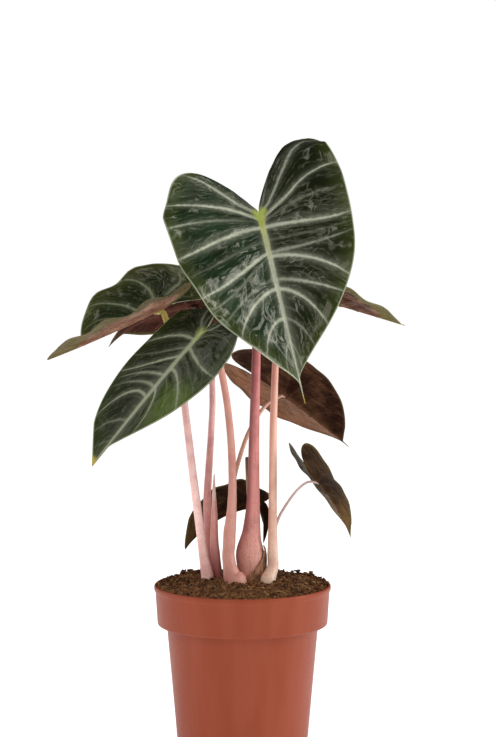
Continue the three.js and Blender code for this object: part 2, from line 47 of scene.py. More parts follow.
# ---- camera ----
# It stands two metres in front of the plant, level with its crown, and looks slightly down through a long
# lens.
EYE = Vector((4.36, -2000, 476)) * MM
LOOK_DOWN = radians(5.1)
FOCAL_LENGTH_PIXELS = 2552
FRAME_HEIGHT_PIXELS = 737
SENSOR = 36
CLIP_END = 100
bpy.ops.object.select_all(action="DESELECT")
bpy.ops.object.camera_add(location=EYE, rotation=(pi / 2 - LOOK_DOWN, 0, 0))
camera = bpy.context.object
camera.data.sensor_width = SENSOR
camera.data.lens = SENSOR * FOCAL_LENGTH_PIXELS / FRAME_HEIGHT_PIXELS
camera.data.clip_end = CLIP_END
bpy.context.scene.camera = camera
bpy.context.scene.view_settings.view_transform = "Standard"

# ---- floor and light ----
# A white studio table and surround, with a large soft box on the right, a weaker one on the left and one in
# front. The surround is full white behind the plant, dimmer as a light and dimmer still in what glossy
# skins mirror.
FLOOR_SIZE = 30
FLOOR_WHITE = (0.9, 0.9, 0.9, 1)
WHITE = (1, 1, 1, 1)
FLOOR_GLOW = 0.55
SURROUND_LIGHT = 0.55
SURROUND_REFLECTED = 0.15
SOFT_BOXES = {  # place, the point that it faces, width and height in metres, and watts
    "soft_box_right": ((1.6, -0.1, 0.8), (0, 0, 0.2), (0.7, 1.1), 19),
    "soft_box_left": ((-1.6, 0.5, 0.6), (0, 0, 0.2), (0.7, 1.6), 7),
    "soft_box_front": ((-0.7, -1.5, 1.6), (0, 0, 0.3), (0.9, 0.9), 12),
}
LINKED = bpy.types.NodeSocket


def plug(node, values):
    """Values or links for the node's inputs, by name (an underscore for a space) or, as i0, i1, by number."""
    for name, value in values.items():
        by_number = name[0] == "i" and name[1:].isdigit()
        socket = node.inputs[int(name[1:]) if by_number else name.replace("_", " ")]
        if isinstance(value, LINKED):
            node.id_data.links.new(value, socket)
        else:
            socket.default_value = value


def add(tree, kind, settings=None, **values):
    made = tree.nodes.new(kind)
    for name, value in (settings or {}).items():
        setattr(made, name, value)
    plug(made, values)
    return made


def calc(operation, a, b=0.0, c=0.0):
    return add(a.id_data, "ShaderNodeMath", {"operation": operation}, i0=a, i1=b, i2=c).outputs[0]


def finish_tree(name):
    """A new material, its node tree and its Principled shader."""
    material = bpy.data.materials.new(name)
    material.use_nodes = True
    return material, material.node_tree, material.node_tree.nodes["Principled BSDF"]


def coat(shader, bump=None, **inputs):
    """The shader's inputs; the bump is given by its height, its strength and its depth in metres."""
    if bump:
        height, strength, depth = bump
        relief = add(shader.id_data, "ShaderNodeBump", None, Strength=strength, Distance=depth, Height=height)
        inputs["Normal"] = relief.outputs[0]
    plug(shader, inputs)


bpy.ops.object.select_all(action="DESELECT")
bpy.ops.mesh.primitive_plane_add(size=FLOOR_SIZE)
floor = bpy.context.object
floor.name = "floor"
floor_white, tree, shader = finish_tree("floor_white")
coat(
    shader, Base_Color=FLOOR_WHITE, Roughness=1, Specular_IOR_Level=0, Emission_Color=WHITE,
    Emission_Strength=FLOOR_GLOW,
)
floor.data.materials.append(floor_white)

surround = bpy.data.worlds.new("surround")
surround.use_nodes = True
bpy.context.scene.world = surround
sky = surround.node_tree
rays = add(sky, "ShaderNodeLightPath").outputs
seen = calc("MULTIPLY_ADD", rays["Is Camera Ray"], 1 - SURROUND_LIGHT, SURROUND_LIGHT)
mirrored = calc("MULTIPLY_ADD", rays["Is Glossy Ray"], SURROUND_REFLECTED - 1, 1)
plug(sky.nodes["Background"], {"Color": WHITE, "Strength": calc("MULTIPLY", seen, mirrored)})
for name, (place, target, size, watts) in SOFT_BOXES.items():
    bpy.ops.object.light_add(type="AREA", location=place)
    box = bpy.context.object
    box.name = name
    box.data.shape = "RECTANGLE"
    box.data.size, box.data.size_y = size
    box.data.energy = watts
    box.rotation_euler = (Vector(target) - Vector(place)).to_track_quat("-Z", "Y").to_euler()

# ---- pot ----
# Thin injection-moulded plastic, terracotta-coloured: a collar over a tapering body, with drain holes in a
# raised ring below. Its wall is one turned profile; the holes and the four grooves across the foot are cut
# out of it.
RIM_RADIUS, _, POT_HEIGHT = np.array(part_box("pot")[1]) / MM
COLLAR_DEPTH = 31.5
COLLAR_FOOT_RADIUS = 67.4
BODY_TOP_RADIUS = 60.1
FOOT_RADIUS = 52
FOOT_ROUND = 3.5
WALL = 1.3
FLOOR_TOP = 4
RECESS = 2.5
HUB_RADIUS = 21
EDGE_ROUND = 0.45
DRAIN_HOLES, DRAIN_HOLE_RADIUS, DRAIN_CIRCLE = 8, 4, 33
CHANNELS, CHANNEL_LENGTH, CHANNEL_WIDTH, CHANNEL_DEPTH = 4, 16, 8, 1.5
POT_STEPS = 144
SHARP_EDGE = radians(32)
collar_foot = POT_HEIGHT - COLLAR_DEPTH
pot_profile = [
    (0, 0), (HUB_RADIUS, 0), (HUB_RADIUS + 1, RECESS), (FOOT_RADIUS - 8.5, RECESS), (FOOT_RADIUS - 7.5, 0),
    (FOOT_RADIUS - FOOT_ROUND, 0), (FOOT_RADIUS - 0.3 * FOOT_ROUND, 0.3 * FOOT_ROUND),
    (FOOT_RADIUS, FOOT_ROUND), (BODY_TOP_RADIUS, collar_foot), (COLLAR_FOOT_RADIUS - 0.9, collar_foot - 0.1),
    (COLLAR_FOOT_RADIUS, collar_foot + 0.9), (RIM_RADIUS - 1.0, POT_HEIGHT - 5.2),
    (RIM_RADIUS, POT_HEIGHT - 3.6), (RIM_RADIUS, POT_HEIGHT - 0.9), (RIM_RADIUS - 0.7, POT_HEIGHT),
    (RIM_RADIUS - 1.6, POT_HEIGHT),
    (RIM_RADIUS - 2.1, POT_HEIGHT - 0.8), (COLLAR_FOOT_RADIUS - WALL, collar_foot + WALL + 1),
    (COLLAR_FOOT_RADIUS - WALL - 1, collar_foot + WALL), (BODY_TOP_RADIUS - WALL, collar_foot + WALL),
    (FOOT_RADIUS - WALL, FLOOR_TOP + 1.5), (FOOT_RADIUS - WALL - 1.5, FLOOR_TOP), (0, FLOOR_TOP),
]


def alone(piece):
    """Only this piece is selected, and operators act on it."""
    bpy.ops.object.select_all(action="DESELECT")
    piece.select_set(True)
    bpy.context.view_layer.objects.active = piece


def in_edit_mode(piece, *steps):
    """Runs the steps, each an operator with its values, on the piece's whole mesh."""
    alone(piece)
    bpy.ops.object.mode_set(mode="EDIT")
    for operator, values in steps:
        bpy.ops.mesh.select_all(action="SELECT")
        operator(**values)
    bpy.ops.object.mode_set(mode="OBJECT")


def merge(gap):
    return bpy.ops.mesh.remove_doubles, {"threshold": gap * MM}


face_outwards = bpy.ops.mesh.normals_make_consistent, {"inside": False}


def cut(piece, cutter):
    """Takes the cutter's shape out of the piece and removes the cutter."""
    trim = piece.modifiers.new("cut", "BOOLEAN")
    trim.object = cutter
    trim.operation = "DIFFERENCE"
    trim.solver = "EXACT"
    alone(piece)
    bpy.ops.object.modifier_apply(modifier="cut")
    bpy.data.objects.remove(cutter)


def on_circle(radius, angle, height=0.0):
    return Vector((radius * cos(angle), radius * sin(angle), height)) * MM


pot_mesh = bpy.data.meshes.new("pot_shell")
edges = [(i, i + 1) for i in range(len(pot_profile) - 1)]
pot_mesh.from_pydata([Vector((r, 0, z)) * MM for r, z in pot_profile], edges, [])
pot = bpy.data.objects.new("pot_shell", pot_mesh)
bpy.context.collection.objects.link(pot)
soften = {"offset": EDGE_ROUND * MM, "segments": 2, "affect": "VERTICES", "clamp_overlap": True}
turn_round = {"steps": POT_STEPS, "angle": 2 * pi, "center": (0, 0, 0), "axis": (0, 0, 1)}
in_edit_mode(pot, (bpy.ops.mesh.bevel, soften), (bpy.ops.mesh.spin, turn_round), merge(0.01), face_outwards)
for i in range(DRAIN_HOLES):
    place = on_circle(DRAIN_CIRCLE, (i + 0.5) * 2 * pi / DRAIN_HOLES, FLOOR_TOP / 2)
    drill = {"radius": DRAIN_HOLE_RADIUS * MM, "depth": 3 * FLOOR_TOP * MM}
    bpy.ops.mesh.primitive_cylinder_add(vertices=32, location=place, **drill)
    cut(pot, bpy.context.object)
for i in range(CHANNELS):
    angle = i * 2 * pi / CHANNELS
    place = on_circle(FOOT_RADIUS - 3, angle)
    bpy.ops.mesh.primitive_cube_add(size=1, location=place, rotation=(0, 0, angle))
    groove = bpy.context.object
    groove.scale = Vector((CHANNEL_LENGTH, CHANNEL_WIDTH, 2 * CHANNEL_DEPTH)) * MM
    cut(pot, groove)
alone(pot)
bpy.ops.object.shade_smooth_by_angle(angle=SHARP_EDGE)


def paint(red, green, blue):
    """A colour from its 0 to 255 display values."""
    return (*(((c / 255 + 0.055) / 1.055) ** 2.4 if c > 10 else c / 3295 for c in (red, green, blue)), 1.0)


def object_place(tree):
    return add(tree, "ShaderNodeTexCoord").outputs["Object"]


def fade(value, start, end, low_out=0.0, high_out=1.0):
    """A smooth step from low_out at start to high_out at end."""
    kind = {"interpolation_type": "SMOOTHSTEP"}
    ends = {"i1": start, "i2": end, "i3": low_out, "i4": high_out}
    return add(value.id_data, "ShaderNodeMapRange", kind, i0=value, **ends).outputs[0]


def mixed(share, a, b):
    settings = {"data_type": "RGBA", "clamp_factor": True}
    return add(share.id_data, "ShaderNodeMix", settings, i0=share, i6=a, i7=b).outputs[2]


def grain(vector, scale, detail=3.0, roughness=0.55, distortion=0.0):
    """Noise from 0 to 1 whose largest bits repeat scale times in a unit of the vector."""
    looks = {"Scale": scale, "Detail": detail, "Roughness": roughness, "Distortion": distortion}
    return add(vector.id_data, "ShaderNodeTexNoise", None, Vector=vector, **looks).outputs[0]


def stretched(vector, scale):
    return add(vector.id_data, "ShaderNodeMapping", None, Vector=vector, Scale=scale).outputs[0]


def times(first, *others):
    for other in others:
        first = calc("MULTIPLY", first, other)
    return first


POT_TONES = paint(131, 56, 33), paint(140, 62, 40)
FLOW_TONE, FLOW_SHOW = paint(150, 76, 55), 0.35
SPECK_TONE, SPECK_SHOW = paint(160, 104, 84), 0.18
POT_ROUGHNESS = 0.42, 0.55
POT_GLOSS = 0.2
WARM_GLOSS = (1.0, 0.92, 0.78, 1.0)
UPRIGHT_STREAKS, LEVEL_SCUFFS = (1, 1, 0.12), (1, 1, 5)
pot_plastic, tree, shader = finish_tree("pot_plastic")
where = object_place(tree)
flow = grain(stretched(where, UPRIGHT_STREAKS), 60, 2)
specks = fade(grain(where, 900, 1), 0.7, 0.8)
scuffs = grain(stretched(where, LEVEL_SCUFFS), 240, 3, 0.7)
tone = mixed(grain(where, 18, 2), *POT_TONES)
tone = mixed(fade(flow, 0.35, 0.7, 0, FLOW_SHOW), tone, FLOW_TONE)
tone = mixed(times(specks, SPECK_SHOW), tone, SPECK_TONE)
coat(
    shader, bump=(grain(where, 420, 2), 0.12, 0.4 * MM), Base_Color=tone,
    Roughness=fade(scuffs, 0.3, 0.8, *POT_ROUGHNESS), Specular_IOR_Level=POT_GLOSS,
    Specular_Tint=WARM_GLOSS,
)
pot.data.materials.append(pot_plastic)
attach(pot, "root")
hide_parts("pot")

# ---- peat ----
# Moist crumbs and tan fibres, pressed in by hand to just below the pot's lip and a little higher in the
# middle. The filling is one turned body whose top is broken up; loose crumbs and fibres lie on it.
SOIL_RADIUS = 67
SOIL_EDGE_HEIGHT = 125
SOIL_CROWN, CROWN_ROUNDNESS = 5, 0.8
SOIL_RINGS, SOIL_SECTORS = 90, 300
RING_CROWDING = 0.85
SETTLE_WIDTH, SETTLED_AT_EDGE = 3, 0.45
CENTRE = 0.01
CLEAR_OF_POT = 0.4
# Clods of three sizes: how close, where in the noise, and height; the whole is sunk a little.
CLODS = [(0.09, (0, 0, 0), 1.6), (0.3, (9, 4, 2), 1.2)]
FINE_CLODS = 0.9, Vector((3, 7, 5)), 1.3
CLODS_SINK = 0.4


def soil_height(x, y):
    inwards = np.maximum(0, 1 - (x * x + y * y) / SOIL_RADIUS**2)
    return SOIL_EDGE_HEIGHT + SOIL_CROWN * inwards**CROWN_ROUNDNESS


def clods(x, y):
    """How far the broken top of the peat stands above its smooth mound, in millimetres."""
    place = Vector((x, y, 0))
    coarse, middle = (noise.noise(place * close + Vector(start)) * height for close, start, height in CLODS)
    close, start, height = FINE_CLODS
    return coarse + middle + abs(noise.noise(place * close + start)) * height - CLODS_SINK


def grid_faces(numbers):
    """Quads between neighbours of a grid of corner numbers."""
    corners = numbers[:-1, :-1], numbers[1:, :-1], numbers[1:, 1:], numbers[:-1, 1:]
    return np.stack(corners, -1).reshape(-1, 4)


def ring_numbers(rings, around):
    """Corner numbers of rings on one another, with each ring's first corner once more at its end."""
    numbers = np.arange(rings * around).reshape(rings, around)
    return np.concatenate([numbers, numbers[:, :1]], 1)


def skin(name, points, faces, smooth=True):
    """A piece from corner points in millimetres and faces given by corner numbers."""
    mesh = bpy.data.meshes.new(name)
    mesh.from_pydata(np.asarray(points) * MM, [], faces.tolist() if isinstance(faces, np.ndarray) else faces)
    piece = bpy.data.objects.new(name, mesh)
    bpy.context.collection.objects.link(piece)
    if smooth:
        mesh.shade_smooth()
    return piece


under_profile = [
    (BODY_TOP_RADIUS - 4, collar_foot + 2), (FOOT_RADIUS - WALL - 0.6, FLOOR_TOP + 2),
    (FOOT_RADIUS - WALL - 2.4, FLOOR_TOP + CLEAR_OF_POT), (CENTRE, FLOOR_TOP + CLEAR_OF_POT),
]
around = np.arange(SOIL_SECTORS) * 2 * pi / SOIL_SECTORS
soil_points = []
for i in range(SOIL_RINGS):
    radius = CENTRE + (SOIL_RADIUS - CENTRE) * (i / (SOIL_RINGS - 1)) ** RING_CROWDING
    for angle in around:
        x, y = radius * cos(angle), radius * sin(angle)
        settle = min(1, (SOIL_RADIUS - radius) / SETTLE_WIDTH + SETTLED_AT_EDGE)
        soil_points.append((x, y, soil_height(x, y) + settle * clods(x, y)))
for radius, height in under_profile:
    soil_points += [(radius * cos(angle), radius * sin(angle), height) for angle in around]
numbers = ring_numbers(SOIL_RINGS + len(under_profile), SOIL_SECTORS)
soil = skin("peat_mound", soil_points, grid_faces(numbers))
in_edit_mode(soil, merge(0.03), face_outwards)

PEAT_DARK, PEAT_BROWN, PEAT_TAN = paint(60, 36, 18), paint(120, 78, 46), paint(152, 106, 64)
PEAT_ROUGHNESS, PEAT_GLOSS = 0.95, 0.2
peat, tree, shader = finish_tree("peat")
where = object_place(tree)
tone = mixed(fade(grain(where, 90, 4, 0.7), 0.35, 0.65), PEAT_DARK, PEAT_BROWN)
tone = mixed(fade(grain(where, 1100, 2, 0.7), 0.45, 0.75), tone, PEAT_TAN)
coat(
    shader, bump=(grain(where, 700, 4, 0.75), 0.9, 0.9 * MM), Base_Color=tone,
    Roughness=PEAT_ROUGHNESS, Specular_IOR_Level=PEAT_GLOSS,
)
soil.data.materials.append(peat)
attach(soil, "root")
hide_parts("soil")

# Crumbs: one rough lump, copied at seeded places, sizes and turns over the mound. Every ninth one is heaped
# against the lip, behind the stalks on the left and on the right.
CRUMBS = 3600
CRUMB_SPREAD = SOIL_RADIUS + 0.6
CRUMB_LARGEST, CRUMB_SMALLEST, CRUMB_USUAL = 2.4, 0.45, 0.42
CRUMB_DENTS, CRUMB_FLATNESS, CRUMB_LIFT = (0.55, 1.2), (1, 1, 0.8), 0.5
HEAP_EVERY, HEAP_ANGLES, HEAP_WIDTH, HEAP_DEPTH, HEAP_HEIGHT = 9, (34, 128), 15, 3, 2.6
CRUMB_TONES = {0.35: paint(92, 58, 32), 0.7: paint(136, 90, 52), 0.92: paint(160, 110, 62)}
CRUMB_DARKEST, CRUMB_LIGHTEST, CRUMB_STAIN = paint(52, 30, 14), paint(204, 160, 100), paint(60, 36, 22)
bpy.ops.mesh.primitive_ico_sphere_add(subdivisions=1, radius=1)
lump = bpy.context.object
lump_points = np.array([v.co for v in lump.data.vertices])
lump_faces = np.array([f.vertices[:] for f in lump.data.polygons])
bpy.data.objects.remove(lump)
draw = np.random.default_rng(11)
crumb_points, crumb_faces, crumb_tones = [], [], []
for i in range(CRUMBS):
    radius, angle = CRUMB_SPREAD * sqrt(draw.random()), draw.random() * 2 * pi
    heaped = i % HEAP_EVERY == 0
    if heaped:
        angle = radians(draw.choice(HEAP_ANGLES) + draw.normal(0, HEAP_WIDTH))
        radius = SOIL_RADIUS - abs(draw.normal(0, HEAP_DEPTH))
    x, y = radius * cos(angle), radius * sin(angle)
    size = min(CRUMB_LARGEST, CRUMB_SMALLEST + draw.exponential(CRUMB_USUAL))
    shape = lump_points * draw.uniform(*CRUMB_DENTS, (len(lump_points), 1)) * size
    turn, _ = np.linalg.qr(draw.normal(size=(3, 3)))
    lift = size * draw.uniform(0.0, CRUMB_LIFT) + heaped * draw.uniform(0, HEAP_HEIGHT)
    crumb_faces.append(lump_faces + i * len(lump_points))
    crumb_points.append(shape @ turn * CRUMB_FLATNESS + (x, y, soil_height(x, y) + clods(x, y) + lift))
    crumb_tones.append(np.full(len(lump_points), draw.random()))
crumbs = skin("peat_crumbs", np.concatenate(crumb_points), np.concatenate(crumb_faces), smooth=False)
in_edit_mode(crumbs, face_outwards)


def mark(piece, name, values):
    """A number for each corner point, which the finish reads."""
    attribute = piece.data.attributes.new(name, "FLOAT", "POINT")
    attribute.data.foreach_set("value", np.asarray(values, np.float32).ravel())


def read(tree, name):
    return add(tree, "ShaderNodeAttribute", {"attribute_name": name}).outputs["Fac"]


mark(crumbs, "tone", np.concatenate(crumb_tones))
crumb_finish, tree, shader = finish_tree("peat_crumb")
where = object_place(tree)
ramp = add(tree, "ShaderNodeValToRGB", None, Fac=read(tree, "tone"))
stops = ramp.color_ramp.elements
stops[0].color, stops[1].color = CRUMB_DARKEST, CRUMB_LIGHTEST
for share, shade in CRUMB_TONES.items():
    stops.new(share).color = shade
tone = mixed(grain(where, 1500, 2), ramp.outputs[0], CRUMB_STAIN)
coat(shader, Base_Color=tone, Roughness=PEAT_ROUGHNESS, Specular_IOR_Level=PEAT_GLOSS)
crumbs.data.materials.append(crumb_finish)
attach(crumbs, "root")

# Fibres: thin bent strands of coir and dry root that lie on the peat, a few standing up from it.
FIBRES = 230
FIBRE_SPREAD, FIBRE_LIMIT = 65, 66
FIBRE_LENGTHS = 3, 11
FIBRE_STEPS = 7
FIBRE_BEND, FIBRE_RISE, FIBRE_LIFT = 0.35, 0.9, 0.6
FIBRE_THICK, FIBRE_THIN = 0.17, 0.09
FIBRE_TONES = paint(110, 74, 46), paint(176, 142, 98)
FIBRE_ROUGHNESS = 0.8


def rings_round(line, beside, sides):
    """The direction at each point of a line, each side's angle, and a ring of unit arrows round the point."""
    ahead = np.gradient(line, axis=0)
    ahead /= np.linalg.norm(ahead, axis=1)[:, None] + 1e-9
    across = np.cross(ahead, beside)
    across /= np.linalg.norm(across, axis=1)[:, None] + 1e-9
    over = np.cross(ahead, across)
    turn = np.arange(sides) * 2 * pi / sides
    return ahead, turn, across[:, None] * np.cos(turn)[:, None] + over[:, None] * np.sin(turn)[:, None]


def strand(points, radii, sides=4):
    """Corner points and faces of a thin closed strand along the points."""
    points = np.asarray(points, float)
    ring = rings_round(points, (0.3, 0.5, 0.81), sides)[2]
    rings = points[:, None] + ring * np.asarray(radii)[:, None, None]
    numbers = ring_numbers(len(points), sides)
    caps = [numbers[0, -2::-1].tolist(), numbers[-1, :-1].tolist()]
    return rings.reshape(-1, 3), grid_faces(numbers).tolist() + caps


fibre_points, fibre_faces, count = [], [], 0
for i in range(FIBRES):
    radius, angle = FIBRE_SPREAD * sqrt(draw.random()), draw.random() * 2 * pi
    x, y = radius * cos(angle), radius * sin(angle)
    heading, length = draw.random() * 2 * pi, draw.uniform(*FIBRE_LENGTHS)
    bend, rise = draw.normal(0, FIBRE_BEND), abs(draw.normal(0, FIBRE_RISE))
    line = []
    for step in np.linspace(0, 1, FIBRE_STEPS):
        heading += bend / 3
        x, y = x + length / FIBRE_STEPS * cos(heading), y + length / FIBRE_STEPS * sin(heading)
        if x * x + y * y > FIBRE_LIMIT**2:
            break
        line.append((x, y, soil_height(x, y) + clods(x, y) + FIBRE_LIFT + rise * sin(pi * step)))
    if len(line) > 2:
        points, faces = strand(line, np.linspace(FIBRE_THICK, FIBRE_THIN, len(line)))
        fibre_faces += [[n + count for n in face] for face in faces]
        fibre_points.append(points)
        count += len(points)
fibres = skin("peat_fibres", np.concatenate(fibre_points), fibre_faces)
fibre_finish, tree, shader = finish_tree("peat_fibre")
tone = mixed(fade(grain(object_place(tree), 60, 1), 0.4, 0.6), *FIBRE_TONES)
coat(shader, Base_Color=tone, Roughness=FIBRE_ROUGHNESS)
fibres.data.materials.append(fibre_finish)
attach(fibres, "root")

# ---- blades ----
# Each is one leathery arrow-shaped sheet, 0.7 mm thick, with a keel under its midrib, grown on its own
# stalk. It is laid out flat first: y runs along the midrib from the stalk (0) to the tip (length), x to
# either side. Then it droops, folds up from the midrib, curls, sweeps sideways, twists and waves as it
# grew. Pairs in brackets are for the left and the right half, seen along the midrib with the upper face up.
LOBE_SHARE = 0.42
DRIP_TIP, DRIP_FROM = 0.35, 0.8
SLIVER = 5
LINE_SPREAD = 0.55
LINE_BOW = 0.16
BOW_FROM = 0.3 * LOBE_SHARE
RIPPLES, RIPPLE_SHIFT = 3, 1.3
LEAST_TURN = 0.01
BLADE_THICKNESS = 0.7
LEAVES = {
    "top": dict(
        neck=2.8, at=(12.9, -20.5, 420.3), yaw=-59, pitch=65, roll=-35, length=154, half_width=80.5,
        lobe=56.2, droop=16, curl=24, bend=0, twist=24, lobe_droop=(39, -18), fold=(12, 38),
        lobe_fold=(-20, 20), wide=(0.88, 0.99), lobe_long=(1.27, 0.59), lobe_shape=(0.72, 0.74),
        shoulder=(2.72, 3.25), point=(1.46, 1.21), end=(0.88, 0.9), wave=8.3, phase=0.9,
    ),
    "front_left": dict(
        neck=2.3, at=(-30.4, -34, 328.8), yaw=-174, pitch=48, roll=33, length=135.8, half_width=51.3,
        lobe=23.1, droop=9, curl=20, bend=4, twist=25, lobe_droop=(25, -15), fold=(18, 5),
        lobe_fold=(6, -32), wide=(1.04, 0.84), lobe_long=(0.87, 1.05), lobe_shape=(-0.01, -0.26),
        shoulder=(1.87, 3.13), point=(1.23, 0.92), end=(0.87, 1), wave=-0.4, phase=3.1,
    ),
    "far_left": dict(
        neck=2.4, at=(-62.5, 29, 344.1), yaw=176, pitch=27, roll=25, length=111.5, half_width=49.2,
        lobe=23.4, droop=14, curl=16, bend=40, twist=-6, lobe_droop=(-3, 51), fold=(43, 42),
        lobe_fold=(2, 9), wide=(0.93, 0.87), lobe_long=(1.35, 1.12), lobe_shape=(0.09, -0.65),
        shoulder=(2.19, 3.76), point=(0.75, 0.75), end=(1, 0.68), wave=3.4, phase=-0.3,
    ),
    "behind_left": dict(
        neck=2, at=(-35.5, 72, 343), yaw=176, pitch=6, roll=-60, length=91, half_width=29.9, lobe=30,
        droop=66, curl=14, bend=1, twist=0, lobe_droop=(26, 12), fold=(-10, 12), lobe_fold=(-8, 0),
        wide=(0.77, 0.84), lobe_long=(0.9, 1), lobe_shape=(0.35, 0.35), shoulder=(0.7, 2.94),
        point=(0.51, 1.34), end=(0.97, 0.8), wave=2, phase=-0.6,
    ),
    "behind_right": dict(
        neck=2.1, at=(36.4, 42, 356.9), yaw=5, pitch=16, roll=9, length=100.2, half_width=46.3, lobe=36,
        droop=1, curl=20, bend=-8, twist=-18, lobe_droop=(10, 10), fold=(20, 27), lobe_fold=(0, 0),
        wide=(1, 1.01), lobe_long=(1, 1), lobe_shape=(0.35, 0.35), shoulder=(3.1, 3.96), point=(1.3, 0.95),
        end=(0.93, 0.97), wave=-1.9, phase=3.1,
    ),
    "right": dict(
        neck=1.3, at=(30.3, 60, 273), yaw=17, pitch=36, roll=26, length=73, half_width=48.3, lobe=47.1,
        droop=11, curl=20, bend=9, twist=-1, lobe_droop=(0, 21), fold=(22, 29), lobe_fold=(5, -8),
        wide=(1.11, 0.86), lobe_long=(0.83, 1.18), lobe_shape=(0.51, -0.17), shoulder=(3, 2.22),
        point=(1.18, 0.9), end=(0.94, 0.91), wave=0.6, phase=3.4,
    ),
    "small_right": dict(
        neck=1, at=(58.3, 20, 207.2), yaw=13, pitch=47, roll=26, length=54.8, half_width=38.2, lobe=33,
        droop=37, curl=20, bend=14, twist=0, lobe_droop=(-11, -1), fold=(39, -5), lobe_fold=(3, 15),
        wide=(1.17, 1.03), lobe_long=(1, 0.97), lobe_shape=(0.06, 0.12), shoulder=(3.88, 1.89),
        point=(1.23, 1.24), end=(1, 1), wave=-0.4, phase=1.5,
    ),
    "small_low": dict(
        neck=1.3, at=(16, 57, 184), yaw=154, pitch=8, roll=-47, length=78.6, half_width=32, lobe=14.5,
        droop=51, curl=18, bend=21, twist=-18, lobe_droop=(-23, 0), fold=(2, -47), lobe_fold=(-12, -4),
        wide=(0.98, 1.03), lobe_long=(0.57, 0.36), lobe_shape=(-0.63, -0.37), shoulder=(2.01, 0.16),
        point=(0.66, 1.4), end=(1, 1), wave=-1.8, phase=1.7,
    ),
}


def edge_line(leaf, right, u):
    """The flat edge at share u: 0 at the stalk, LOBE_SHARE at the widest place, 1 at the tip."""
    width = leaf["half_width"] * leaf["wide"][right]
    lobe = leaf["lobe"] * leaf["lobe_long"][right]
    turn = pi * (1 - np.clip(u / LOBE_SHARE, 0, 1))
    back = -lobe * np.sin(turn) * (1 + leaf["lobe_shape"][right] * np.cos(turn))
    out = np.clip((u - LOBE_SHARE) / (1 - LOBE_SHARE), 0, 1)
    drip = 1 - DRIP_TIP * np.clip((out - DRIP_FROM) / (1 - DRIP_FROM), 0, 1)
    body = np.minimum(1, out / leaf["end"][right])
    taper = np.maximum(0, 1 - body ** leaf["shoulder"][right]) ** leaf["point"][right] * drip
    beyond = u > LOBE_SHARE
    x = np.where(beyond, np.maximum(width * taper, SLIVER * (1 - out)), width * (0.5 + 0.5 * np.cos(turn)))
    return x, np.where(beyond, out * leaf["length"], back)


def flat_place(leaf, right, u, v):
    """The flat place at share u along the edge and v from the midrib (0) to the edge (1)."""
    edge_x, edge_y = edge_line(leaf, right, u)
    t = np.clip((u - LOBE_SHARE) / (1 - LOBE_SHARE), 0, 1)
    midrib = (LINE_SPREAD * t + (1 - LINE_SPREAD) * t**4) * leaf["length"]
    reach = np.clip((u - BOW_FROM) / (1 - BOW_FROM), 0, 1)
    bow = LINE_BOW * v * (1 - v) * leaf["length"] * np.sin(pi * reach)
    return v * edge_x, (1 - v) * midrib + v * edge_y - bow


def leaf_axes(leaf):
    """The directions of the midrib, of the leaf's right side and of its upper face, at the stalk."""
    yaw, pitch, roll = (radians(leaf[k]) for k in ("yaw", "pitch", "roll"))
    ahead = np.array((cos(yaw), sin(yaw), 0))
    up = np.array((0, 0, 1))
    tip = ahead * cos(pitch) - up * sin(pitch)
    face = ahead * sin(pitch) + up * cos(pitch)
    side = np.cross(tip, face)
    return tip, side * cos(roll) + face * sin(roll), face * cos(roll) - side * sin(roll)


def along(amount, direction):
    return np.asarray(amount)[..., None] * direction


def bent(leaf, right, x, y):
    """The bent place of flat places, and the direction that the upper face looks in at the midrib there."""
    tip, side, face = leaf_axes(leaf)
    ahead = y >= 0
    sign = np.where(ahead, 1.0, -1.0)
    lobe_turn = leaf["lobe_droop"][right]
    lobe_turn = lobe_turn if abs(lobe_turn) > LEAST_TURN else LEAST_TURN
    droop = np.radians(np.where(ahead, leaf["droop"], lobe_turn))
    span = np.where(ahead, leaf["length"], leaf["lobe"])
    a = droop * np.abs(y) / span
    place = np.asarray(leaf["at"]) + along(sign * span * np.sin(a) / droop, tip)
    place = place - along(span * (1 - np.cos(a)) / droop, face)
    place = place + along(0.5 * radians(leaf["bend"]) * np.maximum(y, 0) ** 2 / leaf["length"], side)
    over = along(np.cos(a), face) + along(sign * np.sin(a), tip)
    twist = np.radians(leaf["twist"] * y / leaf["length"])
    across = along(np.cos(twist), side) + along(np.sin(twist), over)
    up = along(np.cos(twist), over) - along(np.sin(twist), side)
    width = leaf["half_width"]
    s = np.abs(x) / width
    in_lobe = np.clip(-y / leaf["lobe"], 0, 1)
    fold = np.radians(leaf["fold"][right] + leaf["lobe_fold"][right] * in_lobe)
    curl = radians(leaf["curl"])
    turn = fold - curl * s
    reach = width / curl * (np.sin(fold) - np.sin(turn))
    ripple = np.sin(RIPPLES * 2 * pi * y / leaf["length"] + leaf["phase"] + (0 if right else RIPPLE_SHIFT))
    rise = width / curl * (np.cos(turn) - np.cos(fold)) + leaf["wave"] * s**2 * ripple
    return place + along((1 if right else -1) * reach, across) + along(rise, up), up


